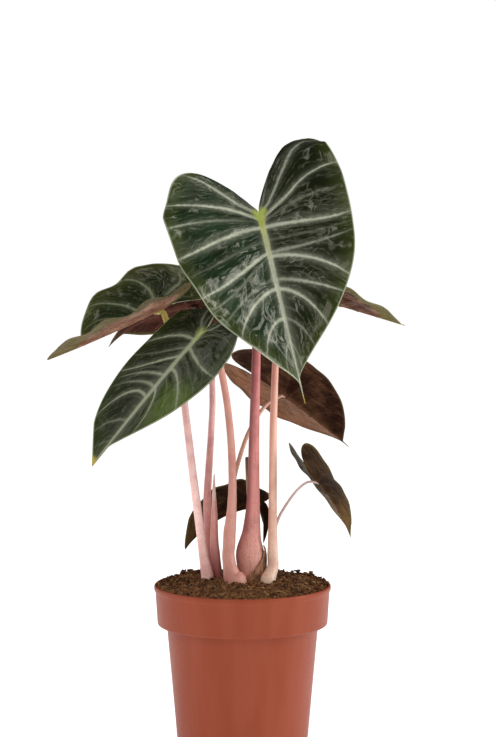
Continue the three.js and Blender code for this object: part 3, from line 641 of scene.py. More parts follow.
# Side veins run out from the midrib, and some back into each lobe. For each vein: its share u at the
# midrib, then for the left and the right half its share half way and at the edge, and how strong it is at
# the midrib and at the edge. Leaves that show the viewer only their undersides have plain veins, alike on
# both halves.
PLAIN_VEINS = [
    (share, half, half) for share, half in (
        (0.30, (0.175, 0.17, 0.35, 0.25)), (0.43, (0.30, 0.285, 0.85, 0.6)),
        (0.475, (0.40, 0.385, 0.95, 0.7)), (0.53, (0.55, 0.53, 1, 0.7)), (0.6, (0.61, 0.60, 0.15, 0.1)),
        (0.675, (0.695, 0.685, 1, 0.7)), (0.80, (0.803, 0.82, 0.9, 0.6)),
        (0.87, (0.868, 0.875, 0.5, 0.3)), (0.93, (0.925, 0.93, 0.3, 0.2)),
    )
]
PLAIN_VEINS_STRAY = 0.008
VEINS = {
    "top": [
        (0.30, (0.175, 0.165, 0.35, 0.2), (0.175, 0.165, 0.4, 0.3)),
        (0.435, (0.312, 0.31, 0.75, 0.55), (0.32, 0.292, 0.85, 0.5)),
        (0.465, (0.396, 0.377, 0.9, 0.85), (0.412, 0.386, 0.95, 0.9)),
        (0.485, (0.44, 0.415, 0.1, 0.1), (0.478, 0.455, 0.0, 0.6)),
        (0.505, (0.525, 0.473, 1, 0.7), (0.55, 0.534, 1, 1)),
        (0.58, (0.57, 0.5, 0.1, 0.1), (0.62, 0.605, 0.1, 0.15)),
        (0.64, (0.613, 0.53, 0.5, 0.3), (0.687, 0.665, 0.95, 0.85)),
        (0.656, (0.658, 0.659, 1, 0.85), (0.715, 0.70, 0.1, 0.3)),
        (0.748, (0.731, 0.704, 0.45, 0.7), (0.748, 0.745, 0.15, 0.2)),
        (0.778, (0.774, 0.793, 1, 0.65), (0.777, 0.79, 1, 0.7)),
        (0.858, (0.842, 0.845, 0.3, 0.25), (0.843, 0.852, 0.8, 0.4)),
        (0.905, (0.895, 0.90, 0.4, 0.2), (0.895, 0.905, 0.3, 0.3)),
        (0.95, (0.945, 0.95, 0.35, 0.15), (0.945, 0.95, 0.3, 0.2)),
    ],
    "front_left": [
        (0.30, (0.14, 0.13, 0.3, 0.2), (0.16, 0.15, 0.3, 0.2)),
        (0.43, (0.24, 0.26, 0.8, 0.5), (0.31, 0.30, 0.6, 0.4)),
        (0.49, (0.41, 0.39, 0.15, 0.1), (0.541, 0.575, 0.8, 0.8)),
        (0.545, (0.56, 0.505, 0.9, 0.7), (0.635, 0.63, 0.4, 0.05)),
        (0.61, (0.61, 0.59, 0.1, 0.1), (0.69, 0.7, 0.95, 0.8)),
        (0.69, (0.667, 0.672, 0.9, 0.75), (0.711, 0.717, 0.1, 0.1)),
        (0.73, (0.72, 0.74, 0.1, 0.1), (0.73, 0.735, 0.8, 0.1)),
        (0.785, (0.787, 0.83, 0.9, 0.6), (0.765, 0.768, 0.8, 0.1)),
        (0.83, (0.83, 0.865, 0.2, 0.1), (0.805, 0.868, 0.9, 0.75)),
        (0.90, (0.90, 0.91, 0.3, 0.1), (0.895, 0.91, 0.4, 0.2)),
        (0.95, (0.948, 0.952, 0.2, 0.1), (0.948, 0.952, 0.2, 0.1)),
    ],
    "far_left": [
        (0.30, (0.15, 0.13, 0.2, 0.1), (0.14, 0.13, 0.2, 0.1)),
        (0.43, (0.25, 0.22, 0.6, 0.4), (0.26, 0.35, 0.9, 0.8)),
        (0.50, (0.42, 0.40, 0.6, 0.4), (0.49, 0.555, 0.9, 0.7)),
        (0.60, (0.56, 0.55, 0.7, 0.4), (0.65, 0.725, 0.9, 0.7)),
        (0.70, (0.70, 0.68, 0.5, 0.3), (0.745, 0.80, 0.4, 0.3)),
        (0.80, (0.80, 0.80, 0.4, 0.3), (0.83, 0.87, 0.4, 0.2)),
        (0.90, (0.90, 0.90, 0.3, 0.2), (0.91, 0.93, 0.3, 0.2)),
    ],
}
FINE_LINES = 58
NEAR_A_VEIN = (0.03, 0.08, 0.16, 0.28, 0.42)
SHARES_ACROSS = np.array([
    0, 0.008, 0.018, 0.032, 0.05, 0.075, 0.105, 0.14, 0.18, 0.22, 0.265, 0.31, 0.355, 0.4, 0.445, 0.49,
    0.535, 0.58, 0.625, 0.67, 0.71, 0.75, 0.79, 0.825, 0.86, 0.89, 0.92, 0.945, 0.965, 0.982, 0.993, 1,
])
# The mesh's lines run slanting to the veins and the edge, which shortens the way to them.
SLANT_TO_VEIN, SLANT_TO_RIM = 0.85, 0.8
# The relief in mm: the skin swells between the veins, and a vein is sunk above and a ridge below.
SWELL, SWELL_SINK, LUMPS, SWELL_WIDTH = 1.15, 0.5, 0.28, 1.5
GROOVE, GROOVE_WIDTH = 0.22, 0.9
RIDGE_AT_RIM, RIDGE_AT_RIB, RIDGE_WIDTH = 0.2, 0.45, 0.85
KEEL, KEEL_WIDTH, KEEL_FADE, KEEL_FULL_FROM = 1.05, 1.8, 0.85, 45
TROUGH, TROUGH_WIDTH = 0.3, 1.6
RIM_THINNER, RIM_WIDTH = 0.45, 0.8
QUIET_RIM, QUIET_RIB = 6, 7
NUDGE = 0.05


def vein_columns(count):
    """Vein numbers at which the mesh has a line of points: on each vein, close beside it and between."""
    columns = [0.0]
    for k in range(count - 1):
        inside = [k + d for d in NEAR_A_VEIN] + [k + 0.5] + [k + 1 - d for d in NEAR_A_VEIN[::-1]]
        columns += inside + [k + 1.0]
    return np.array(columns)


def vein_path(start, middle, end, v):
    """The share u of a vein at v, on a smooth line through its start, middle and end."""
    return np.clip(start * (1 - v) * (1 - 2 * v) + middle * 4 * v * (1 - v) + end * v * (2 * v - 1), 0, 1)


def hump(distance, width):
    return np.exp(-((distance / width) ** 2))


def blade(place, leaf):
    """The blade's mesh, with the numbers that its finish reads: distances in mm to veins, midrib and edge."""
    draw = np.random.default_rng(len(place) * 7 + int(leaf["length"]))
    veins = VEINS.get(place, PLAIN_VEINS)
    columns = vein_columns(len(veins) + 2)
    size = leaf["half_width"] / LEAVES["top"]["half_width"]
    points, faces, flats, lines = [], [], [], []
    marks = {name: [] for name in ("vein", "rib", "rim", "force", "under", "far")}
    count = 0
    for right in (0, 1):
        table = [(0, 0, 0, 0, 0)] + [(row[0], *row[1 + right]) for row in veins] + [(1, 1, 1, 0, 0)]
        table = np.array(table, float)
        if place not in VEINS:
            table[2:-2, 1:3] += draw.uniform(-PLAIN_VEINS_STRAY, PLAIN_VEINS_STRAY, (len(table) - 4, 2))
        q, v = np.meshgrid(columns, SHARES_ACROSS, indexing="ij")
        start, middle, end = (np.interp(q, range(len(table)), table[:, k]) for k in range(3))
        on_vein = [np.interp(np.round(q), range(len(table)), table[:, k]) for k in range(5)]
        u = vein_path(start, middle, end, v)
        x, y = flat_place(leaf, right, u, v)
        vein_x, vein_y = flat_place(leaf, right, vein_path(*on_vein[:3], v), v)
        edge_x, edge_y = flat_place(leaf, right, u, np.ones_like(v))
        to_vein = SLANT_TO_VEIN * np.hypot(x - vein_x, y - vein_y)
        to_rib = np.hypot(x, np.minimum(y, 0))
        to_rim = SLANT_TO_RIM * np.hypot(edge_x - x, edge_y - y)
        strong = on_vein[3] * (1 - v) + on_vein[4] * v
        far = y / leaf["length"]

        middle_place, up = bent(leaf, right, x, y)
        along_x = bent(leaf, right, x + NUDGE, y)[0] - bent(leaf, right, x - NUDGE, y)[0]
        along_y = bent(leaf, right, x, y + NUDGE)[0] - bent(leaf, right, x, y - NUDGE)[0]
        normal = np.cross(along_x, along_y)
        normal /= np.linalg.norm(normal, axis=-1)[..., None]
        normal *= np.where((normal * up).sum(-1) < 0, -1, 1)[..., None]
        normal = np.where((x > 1e-6)[..., None], normal, up)

        quiet = np.clip(to_rim / QUIET_RIM, 0, 1) * np.clip(to_rib / QUIET_RIB, 0, 1)
        swell = 1 - strong * hump(to_vein, 5 * size + SWELL_WIDTH)
        lumps = np.sin(x * 0.31 + 1.7 * right) * np.sin(y * 0.27 + 0.9)
        lumps = lumps + 0.6 * np.sin(x * 0.13 - y * 0.19 + 2 * right)
        body = quiet * size**0.6 * (SWELL * swell - SWELL_SINK + LUMPS * lumps)
        groove = strong * GROOVE * hump(to_vein, GROOVE_WIDTH) * quiet
        ridge = strong * (RIDGE_AT_RIM + RIDGE_AT_RIB * (1 - v)) * hump(to_vein, RIDGE_WIDTH)
        ridge = ridge * np.clip(to_rim / 2, 0, 1)
        keel = KEEL * min(1, leaf["half_width"] / KEEL_FULL_FROM) * hump(x, KEEL_WIDTH)
        keel = keel * (1 - KEEL_FADE * np.clip(far, 0, 1))
        trough = TROUGH * size * hump(to_rib, TROUGH_WIDTH) * np.clip(1 - far, 0, 1)
        half = BLADE_THICKNESS / 2 * (1 - RIM_THINNER * np.exp(-to_rim / RIM_WIDTH))
        top = middle_place + along(body + half - groove - trough, normal)
        bottom = middle_place + along(body - half - ridge - keel, normal)

        n, m = q.shape
        upper = np.arange(n * m).reshape(n, m) + count
        lower = upper + n * m
        count += 2 * n * m
        rim = np.stack([upper[:-1, -1], upper[1:, -1], lower[1:, -1], lower[:-1, -1]], -1)
        for found, flip in ((grid_faces(upper), right), (grid_faces(lower), not right), (rim, right)):
            faces.append(found if flip else found[:, ::-1])
        points += [top.reshape(-1, 3), bottom.reshape(-1, 3)]
        sign = 1 if right else -1
        for is_under in (0, 1):
            flats.append(np.stack([sign * x, y], -1).reshape(-1, 2) / 100)
            lines.append(np.stack([FINE_LINES * size**0.7 * (middle + right), v], -1).reshape(-1, 2))
            found = (to_vein, to_rib, to_rim, strong, np.full_like(x, is_under), far)
            for name, values in zip(marks, found):
                marks[name].append(values.ravel())
    piece = skin("leaf_" + place, np.concatenate(points), np.concatenate(faces))
    mesh = piece.data
    for name, values in marks.items():
        mark(piece, name, np.concatenate(values))
    corners = np.empty(len(mesh.loops), np.int32)
    mesh.loops.foreach_get("vertex_index", corners)
    for name, values in (("flat", flats), ("lines", lines)):
        layer = mesh.uv_layers.new(name=name)
        layer.data.foreach_set("uv", np.concatenate(values)[corners].astype(np.float32).ravel())
    under = np.concatenate(marks["under"])[corners]
    starts = np.empty(len(mesh.polygons), np.int32)
    mesh.polygons.foreach_get("loop_start", starts)
    mesh.polygons.foreach_set("material_index", (under[starts] > 0.5).astype(np.int32))
    in_edit_mode(piece, merge(0.002), (bpy.ops.mesh.dissolve_degenerate, {"threshold": 0.0005 * MM}))
    return piece


def group_tree(name, inputs, outputs):
    """A shader node group with named inputs, given with their kind and value, and named outputs."""
    tree = bpy.data.node_groups.new(name, "ShaderNodeTree")
    for label, (kind, value) in inputs.items():
        socket = tree.interface.new_socket(label, in_out="INPUT", socket_type="NodeSocket" + kind)
        socket.default_value = value
    for label, kind in outputs.items():
        tree.interface.new_socket(label, in_out="OUTPUT", socket_type="NodeSocket" + kind)
    return tree, tree.nodes.new("NodeGroupInput").outputs, tree.nodes.new("NodeGroupOutput").inputs


def give_out(tree, sockets, values):
    for label, value in values.items():
        tree.links.new(value, sockets[label])


def map_of(tree, name):
    return add(tree, "ShaderNodeUVMap", {"uv_map": name}).outputs[0]


def plus(first, *others):
    for other in others:
        first = calc("ADD", first, other)
    return first


def astray(vector, scale, detail, reach, roughness=0.55):
    """A number that wanders by half the reach to either side of zero."""
    return times(calc("SUBTRACT", grain(vector, scale, detail, roughness), 0.5), reach)


def dying(distance, rate):
    """1 at no distance, falling away by the rate for each millimetre."""
    return calc("EXPONENT", times(calc("MAXIMUM", distance, 0.0), -rate))


# The drawing of veins, the same above and below: how strongly side veins, their soft silver halo, the
# midrib, the fine lines between the veins, painted silver glints (squiggly highlights that stand in for
# reflections in the quilted skin), the spot over the stalk and the edge show at a place, each times the
# share that the finish gives it. Widths and distances are in millimetres.
DRAWN = ("Vein", "Halo", "Midrib", "Fine", "Blotch", "Node", "Edge")
tree, given, out = group_tree(
    "vein_drawing", {name + " share": ("Float", 0.0) for name in DRAWN} | {"Line depth": ("Float", 0.0)},
    {name: "Float" for name in (*DRAWN, "Relief", "Crumple")},
)
flat = map_of(tree, "flat")
to_vein, to_rib, to_rim, force, far = (read(tree, name) for name in ("vein", "rib", "rim", "force", "far"))
lines_map = add(tree, "ShaderNodeSeparateXYZ", None, Vector=map_of(tree, "lines"))
number, share = lines_map.outputs[0], lines_map.outputs[1]


def lines_grain(along_number, along_share, *looks):
    """Noise that follows the fine lines and the side veins."""
    place = {"X": times(number, along_number), "Y": times(share, along_share)}
    return grain(add(tree, "ShaderNodeCombineXYZ", None, **place).outputs[0], *looks)


wobble = astray(flat, 30, 3, 1.5, 0.6)
near = plus(to_vein, wobble)
width = fade(share, 0.0, 1.0, 1.6, 0.8)
line = fade(calc("DIVIDE", near, width), 0.1, 1.25, 1, 0)
vein_mask = times(line, force, fade(share, 0.86, 0.99, 1.0, 0.35))
halo = times(dying(plus(near, wobble), 0.5), force, fade(share, 0.6, 1.0, 1.0, 0.4))
rib_near = plus(to_rib, times(wobble, 0.6))
rib_width = fade(far, -0.1, 1.1, 3.3, 0.9)
rib_line = fade(calc("DIVIDE", rib_near, rib_width), 0.35, 1.2, 1, 0)
rib_mask = times(rib_line, fade(far, -0.03, 0.0))
rib_haze = times(dying(rib_near, 0.3), fade(far, -0.05, 0.02), fade(far, 0.5, 1, 1, 0.5))
hook = times(share, share, -2.2)
fine_wave = calc("COSINE", times(plus(number, astray(flat, 7, 2, 2.4), hook), 2 * pi))
patchy = fade(grain(flat, 12, 2, 0.6), 0.42, 0.62, 0.15, 1.0)
fine_mask = times(fade(fine_wave, 0.3, 1.0), patchy)
# Painted glints: thin silver squiggles in patches, standing in for reflections of the lamps on the quilted
# skin.
glint_squiggle = calc("ABSOLUTE", calc("SUBTRACT", lines_grain(0.22, 2.4, 1.5, 1, 0.5, 1.6), 0.5))
glint_patches = fade(grain(flat, 5.5, 1), 0.52, 0.64)
node_reach = plus(to_rib, times(calc("ABSOLUTE", far), 70), wobble)
masks = {
    "Vein": vein_mask, "Halo": calc("MAXIMUM", halo, rib_haze), "Midrib": rib_mask, "Fine": fine_mask,
    "Blotch": times(fade(glint_squiggle, 0.0, 0.05, 1, 0), glint_patches),
    "Node": fade(node_reach, 4.0, 9.0, 1, 0), "Edge": fade(to_rim, 0.3, 1.1, 1, 0),
}
give_out(tree, out, {name: times(mask, given[name + " share"]) for name, mask in masks.items()})
crumple = lines_grain(0.36, 3.4, 1.0, 1, 0.45, 0.7)
give_out(tree, out, {"Relief": times(fine_mask, given["Line depth"]), "Crumple": crumple})
vein_drawing = tree


def drawn(tree, line_depth, **shares):
    """The vein drawing, with the share of each of its parts and how far the fine lines stand up."""
    values = {name + "_share": share for name, share in shares.items()}
    return add(tree, "ShaderNodeGroup", {"node_tree": vein_drawing}, Line_depth=line_depth, **values).outputs


def laid_over(tone, drawing, colours):
    for name, colour in colours.items():
        tone = mixed(drawing[name], tone, colour)
    return tone


def halves(flat, blend, left, right):
    across = add(flat.id_data, "ShaderNodeSeparateXYZ", None, Vector=flat).outputs[0]
    return mixed(fade(across, -blend, blend), left, right)


SILVER, UPPER_DARK, UPPER_MARGIN = paint(170, 173, 152), paint(20, 22, 8), paint(58, 66, 26)
RIB_FOOT, NODE_GREEN, PALE_EDGE, YELLOW_TIP = (
    paint(176, 180, 118), paint(158, 168, 76), paint(150, 156, 128), paint(170, 154, 72)
)
FINE_SHOW, PAINTED_GLINT_SHOW, RIB_SHOW, EDGE_SHOW = 0.11, 0.26, 0.9, 0.8
LINES_SUNK, LINES_RAISED = -0.03, 0.15
VEIN_MATT = 0.2
UPPER_GLOSS = 0.22


def upper_finish(
    name, left, right, silver=SILVER, margin=UPPER_MARGIN, vein_show=0.95, halo_show=0.52, olive=None,
    rib_foot=RIB_FOOT, node_show=0.9, shine=0.2, glints=1.0,
):
    """Dark green with silver veins, painted silver glints, a pale edge, a yellow-green spot over the stalk
    and a yellow tip.
    """
    material, tree, shader = finish_tree(name)
    drawing = drawn(
        tree, LINES_SUNK, Fine=FINE_SHOW, Halo=halo_show, Blotch=PAINTED_GLINT_SHOW * glints, Vein=vein_show,
        Midrib=RIB_SHOW, Node=node_show, Edge=EDGE_SHOW,
    )
    flat, to_rim, far = map_of(tree, "flat"), read(tree, "rim"), read(tree, "far")
    tone = halves(flat, 0.06, left, right)
    tone = mixed(fade(grain(flat, 5, 3), 0.35, 0.7, 0, 0.55), tone, UPPER_DARK)
    # A paler band along the edge: partly the leaf's own colour, partly painted light shining through the thin
    # edge.
    tone = mixed(fade(to_rim, 14, 2, 0, 0.6), tone, margin)
    # The olive patch is painted light: light shining through the blade, laid on as a paler olive-green.
    if olive:
        colour, place, reach = olive
        to_sunlit_patch = add(tree, "ShaderNodeVectorMath", {"operation": "DISTANCE"}, i0=flat, i1=(*place, 0))
        spot = plus(to_sunlit_patch.outputs["Value"], astray(flat, 9, 2, 0.25))
        tone = mixed(fade(spot, reach, 0.3 * reach, 0, 0.85), tone, colour)
    rib_tone = mixed(fade(far, 0.05, 0.35), rib_foot, silver)
    silvery = dict.fromkeys(("Fine", "Halo", "Blotch", "Vein"), silver)
    tone = laid_over(tone, drawing, silvery | {"Midrib": rib_tone, "Node": NODE_GREEN, "Edge": PALE_EDGE})
    tone = mixed(fade(far, 0.93, 0.97), tone, YELLOW_TIP)
    crumple = times(drawing["Crumple"], fade(to_rim, 1, 10))
    crumple = times(crumple, fade(read(tree, "rib"), 1, 12, 0, glints))
    coat(
        shader, bump=(plus(drawing["Relief"], crumple), 0.9, 6 * MM), Base_Color=tone,
        Roughness=plus(times(drawing["Vein"], VEIN_MATT / vein_show), shine),
        Specular_IOR_Level=UPPER_GLOSS, Specular_Tint=WARM_GLOSS,
    )
    return material


FOLD_SHADE, UNDER_EDGE = paint(34, 18, 12), paint(120, 104, 74)
UNDER_ROUGHNESS, UNDER_GLOSS = 0.45, 0.02


def under_finish(name, tones, rim_reach=3.0, vein_show=0.3, tip_tone=None):
    """Maroon-brown, lighter in broad drifts, with painted shade and highlights along creases, raised veins a
    little paler and a tan edge.
    """
    material, tree, shader = finish_tree(name)
    left, right, light, vein_tone, rim_tone = (paint(*tone) for tone in tones)
    drawing = drawn(tree, LINES_RAISED, Fine=0.4 * vein_show, Vein=vein_show, Midrib=0.7, Node=0.5, Edge=0.5)
    flat = map_of(tree, "flat")
    tone = halves(flat, 0.03, left, right)
    tone = mixed(fade(grain(flat, 4, 4, 0.6), 0.38, 0.7, 0, 0.75), tone, light)
    # Painted shade in made-up creases along the blade, and painted highlights on the ridges beside them.
    folds = grain(stretched(flat, (1, 0.22, 1)), 22, 3, 0.6, 0.8)
    tone = mixed(fade(folds, 0.5, 0.68, 0, 0.55), tone, FOLD_SHADE)
    tone = mixed(fade(folds, 0.46, 0.32, 0, 0.45), tone, light)
    if tip_tone:
        toward_tip = plus(read(tree, "far"), times(calc("SUBTRACT", folds, 0.5), 1.2))
        tone = mixed(fade(toward_tip, 0.3, 0.75, 0, 0.75), tone, paint(*tip_tone))
    to_rim = plus(read(tree, "rim"), astray(flat, 16, 2, 3.0))
    tone = mixed(fade(to_rim, rim_reach + 1.5, rim_reach - 1, 0, 0.8), tone, rim_tone)
    veins = dict.fromkeys(("Fine", "Vein", "Midrib", "Node"), vein_tone)
    tone = laid_over(tone, drawing, veins | {"Edge": UNDER_EDGE})
    coat(
        shader, bump=(plus(drawing["Relief"], grain(flat, 7, 3, 0.5, 0.6)), 0.9, 5 * MM),
        Base_Color=tone, Roughness=UNDER_ROUGHNESS, Specular_IOR_Level=UNDER_GLOSS, Specular_Tint=WARM_GLOSS,
    )
    return material


# A painted patch of light shining through the front left leaf's blade.
PAINTED_SUNLIT_PATCH = paint(62, 80, 2), (-0.34, 0.62), 0.36  # colour, place on the flat leaf and reach in decimetres
upper_finishes = {
    # The top leaf's right half is painted a lighter, bluer green than its left: a painted sheen.
    "top": upper_finish("leaf_upper_top", paint(20, 27, 6), paint(22, 42, 22)),
    "front_left": upper_finish(
        "leaf_upper_front_left", paint(22, 32, 4), paint(20, 27, 8), paint(144, 148, 124), paint(42, 54, 16),
        0.85, 0.5, PAINTED_SUNLIT_PATCH, paint(146, 152, 120), node_show=0.4, glints=0.5, shine=0.38,
    ),
    "far_left": upper_finish(
        "leaf_upper_far_left", paint(34, 42, 14), paint(30, 38, 14), paint(130, 136, 106), paint(66, 68, 28),
        0.75, 0.4,
    ),
    "others": upper_finish("leaf_upper", paint(28, 36, 12), paint(28, 36, 12), paint(140, 144, 120)),
}
MAROON, TAN, VEIN_BROWN, OLIVE_RIM = (74, 42, 34), (120, 88, 66), (120, 84, 66), (88, 80, 40)
# For each underside: the tones of its left and right half, of lighter drifts that also serve as painted
# highlights on its creases, of veins and rim; then how wide the rim is in mm, how strongly the veins show,
# and the tone towards the tip, where they aren't as usual.
UNDER_TONES = {
    "top": ((MAROON, MAROON, TAN, VEIN_BROWN, OLIVE_RIM),),
    "front_left": ((MAROON, MAROON, TAN, VEIN_BROWN, OLIVE_RIM),),
    "far_left": (((112, 72, 54), MAROON, (172, 138, 112), (140, 100, 78), (84, 82, 38)), 17),
    "behind_left": (((62, 38, 28), (56, 32, 24), (100, 60, 50), (104, 66, 56), OLIVE_RIM), 2, 0.5),
    "behind_right": (((92, 62, 48), MAROON, (150, 116, 90), (130, 96, 74), (104, 98, 50)), 11),
    # The right leaf's left half, its lower one, is painted far lighter than its right half: painted light
    # where it faces down and forward.
    "right": (((136, 92, 64), (44, 25, 17), (104, 72, 52), (104, 72, 54), MAROON), 1, 0.2),
    "small_right": (
        ((42, 26, 14), (44, 27, 15), (92, 68, 42), (92, 66, 42), OLIVE_RIM), 1, 0.2, (140, 108, 66)
    ),
    "small_low": (((30, 18, 11), (36, 18, 12), (64, 40, 24), (64, 42, 28), OLIVE_RIM), 1, 0.3, (96, 72, 44)),
}
under_finishes = {place: under_finish("leaf_under_" + place, *looks) for place, looks in UNDER_TONES.items()}
for place, leaf in LEAVES.items():
    piece = blade(place, leaf)
    piece.data.materials.append(upper_finishes.get(place, upper_finishes["others"]))
    piece.data.materials.append(under_finishes[place])
    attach(piece, "root")
    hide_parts("blade_" + place)

# ---- stalks ----
# Fleshy, smooth and round, pink with fine darker flecks, and swollen at the foot, where they come out of
# the peat. Each row is (x, y, z, radius) of the middle line. The stalk runs on into its blade's keel at one
# end and down into the peat at the other.
STALKS = {
    "top": [
        (6, 4, 132, 10.2), (6.7, 4, 139.7, 10.8), (6.2, 4, 147.8, 11.4), (6.1, 4, 153.8, 10.6),
        (6.4, 3.8, 159.8, 8.9), (7, 3.5, 165.5, 7.6), (7.5, 3, 172.7, 6.7), (8.2, 2.5, 186.4, 5.5),
        (8.6, 2, 205.6, 4.8), (8.8, 1, 226.5, 4.4), (9.1, 1, 246.3, 4.1), (9.8, 0, 272.6, 3.8),
        (10.4, 0, 292.4, 3.6), (11.3, -1, 328, 3.3), (11.8, -4, 367.4, 3.1), (12.5, -9, 398.9, 3),
        (12.8, -16, 408, 2.9),
    ],
    "front_left": [
        (-5.4, -13.2, 130.2, 8.8), (-8.1, -12.4, 134.2, 7.2), (-9.7, -11.5, 139.9, 5.9),
        (-10.7, -10, 144.9, 5.2), (-11.3, -8, 151.3, 4.9), (-10.7, -7, 159.1, 4.9), (-10.3, -5, 168.4, 4.9),
        (-9.2, -4.5, 178.7, 4.3), (-8.4, -4, 189.7, 3.7), (-7.9, -3, 207.1, 3.2), (-8.6, -3, 233.3, 3),
        (-10.1, -5, 253.3, 2.85), (-12.4, -8, 273.4, 2.75), (-16.5, -15, 297.7, 2.7), (-20.3, -28, 317, 2.4),
    ],
    "far_left": [
        (-27.8, 6, 131.3, 5.2), (-30.7, 6, 147.4, 3.9), (-32.8, 7, 162.5, 3.5), (-36.6, 8, 192, 3.3),
        (-39.7, 10, 215.7, 3.15), (-41.6, 11, 231.6, 3.05), (-44.5, 13, 255.3, 2.9), (-48.1, 18, 282.7, 2.8),
        (-53.4, 26, 310, 2.6), (-59.6, 29, 329.8, 2.5),
    ],
    "behind_left": [
        (-23.2, 20.8, 131.1, 3.9), (-25.1, 19.8, 146, 3.6), (-27.3, 20, 166.1, 3.4), (-28.3, 22.5, 190, 3.1),
        (-26.9, 26, 216.1, 2.9), (-25.2, 30, 243, 2.6), (-24.2, 37, 272.9, 2.45), (-26.7, 56, 319.7, 2.25),
        (-32.2, 68, 331.8, 2.1),
    ],
    "behind_right": [
        (20.2, -7.6, 130, 6.2), (22.1, -4.6, 135, 5.2), (24.1, -2, 140.7, 4.5), (24, 0, 150.8, 4.25),
        (23.9, 1, 161.1, 3.8), (23.9, 3, 179.1, 3.4), (24, 5, 206, 3.2), (24.3, 9, 245.4, 3),
        (25, 12, 271.4, 2.85), (26.8, 20, 310.5, 2.6), (30.7, 30, 337.6, 2.3), (31, 38, 345, 2.2),
    ],
    "right": [
        (-8.6, 14.5, 131.7, 2), (-8.8, 14.5, 152.5, 1.9), (-7.9, 15, 179, 1.8), (-7.6, 16, 198.9, 1.8),
        (-6.3, 18, 209.9, 1.8), (-2.9, 21, 222.4, 1.8), (2.3, 26, 237.8, 1.7), (7.2, 31, 248.1, 1.65),
        (14, 38.5, 258.2, 1.6), (20.9, 47, 265.4, 1.5),
    ],
    "small_right": [
        (24.2, 15.5, 131.2, 1.8), (24.5, 15.5, 150.7, 1.6), (25.3, 15.8, 165.2, 1.5), (28, 16.2, 174.4, 1.3),
        (32.2, 16.8, 182.7, 1.15), (37.4, 17.5, 190.7, 1.1), (43.4, 18.3, 198.3, 1.05), (49.8, 19, 203.7, 1),
        (54.5, 18.8, 205.2, 1),
    ],
    "small_low": [
        (12.6, 25, 131.3, 1.7), (12.9, 26, 147, 1.6), (11.5, 33, 161, 1.5), (10, 38, 174, 1.4),
    ],
}
ROOT_DEPTH = 24
ROOT_RUN = 8
STEPS_A_ROW = 8
STALK_SIDES, TOP_STALK_SIDES = 28, 40
RIPPLE_DEPTH = 0.012
UNDER_KEEL = 0.35
# Where a stalk joins its blade, and in shares of its neck how it runs on into the keel and tapers there.
JOIN_AHEAD = 2.5
RUN_AHEAD, RUN_UP, RUN_TAPER, RUN_SWELL, END_BULGE = 3, 0.75, 0.3, 0.1, 0.4


def smooth_line(rows, steps=STEPS_A_ROW):
    """Points between the rows, on a smooth line that leaves the first row straight up."""
    rows = np.asarray(rows, float)
    padded = np.vstack([rows[0] - (0, 0, ROOT_RUN, 0), rows, 2 * rows[-1] - rows[-2]])
    line = []
    for i in range(len(rows) - 1):
        p0, p1, p2, p3 = padded[i : i + 4]
        for f in np.arange(steps) / steps:
            a, b, c = p2 - p0, 2 * p0 - 5 * p1 + 4 * p2 - p3, 3 * p1 - p0 - 3 * p2 + p3
            line.append(0.5 * (2 * p1 + a * f + b * f * f + c * f**3))
    return np.array(line + [rows[-1]])


def stalk(name, rows, sides=STALK_SIDES, into=None, flutes=0.02, seed=1):
    """A round fleshy rod along the rows, its skin slightly fluted, ending in the blade (into) or closed."""
    rows = list(rows)
    if into:
        neck = into["neck"]
        tip, _, face = leaf_axes(into)
        end = np.asarray(into["at"]) + JOIN_AHEAD * tip - (neck + UNDER_KEEL) * face
        rows.append((*end, neck))
    line = smooth_line(rows)
    if into:
        run_in = np.append(line[-1, :3] + neck * (RUN_AHEAD * tip + RUN_UP * face), RUN_TAPER * neck)
        line = np.vstack([line, 0.5 * (line[-1] + run_in) + (0, 0, 0, RUN_SWELL * neck), run_in])
    x, y, z, _ = line[0]
    below = line[0] - (0, 0, z - (soil_height(x, y) - ROOT_DEPTH), 0)
    line = np.vstack([below, line])
    ahead, turn, ring = rings_round(line[:, :3], (0, 1, 0.02), sides)
    height = line[:, 2][:, None]
    threes, fives = np.sin(3 * turn + seed + height * 0.02), np.sin(5 * turn + 2 * seed - height * 0.03)
    flute = 1 + flutes * (threes + 0.6 * fives)
    ripple = 1 + RIPPLE_DEPTH * np.sin(height * 0.55 + seed) * np.sin(2 * turn + seed)
    rings = line[:, None, :3] + along(line[:, 3][:, None] * flute * ripple, ring)
    n = len(line)
    numbers = ring_numbers(n, sides)
    faces = grid_faces(numbers).tolist()
    ends = np.vstack([line[0, :3], line[-1, :3] + ahead[-1] * END_BULGE * line[-1, 3]])
    for k in range(sides):
        faces.append([n * sides, numbers[0, k + 1], numbers[0, k]])
        faces.append([n * sides + 1, numbers[-1, k], numbers[-1, k + 1]])
    piece = skin(name, np.vstack([rings.reshape(-1, 3), ends]), faces)
    mark(piece, "left", np.append(np.tile(np.cos(turn), n), (0, 0)))
    in_edit_mode(piece, face_outwards)
    return piece


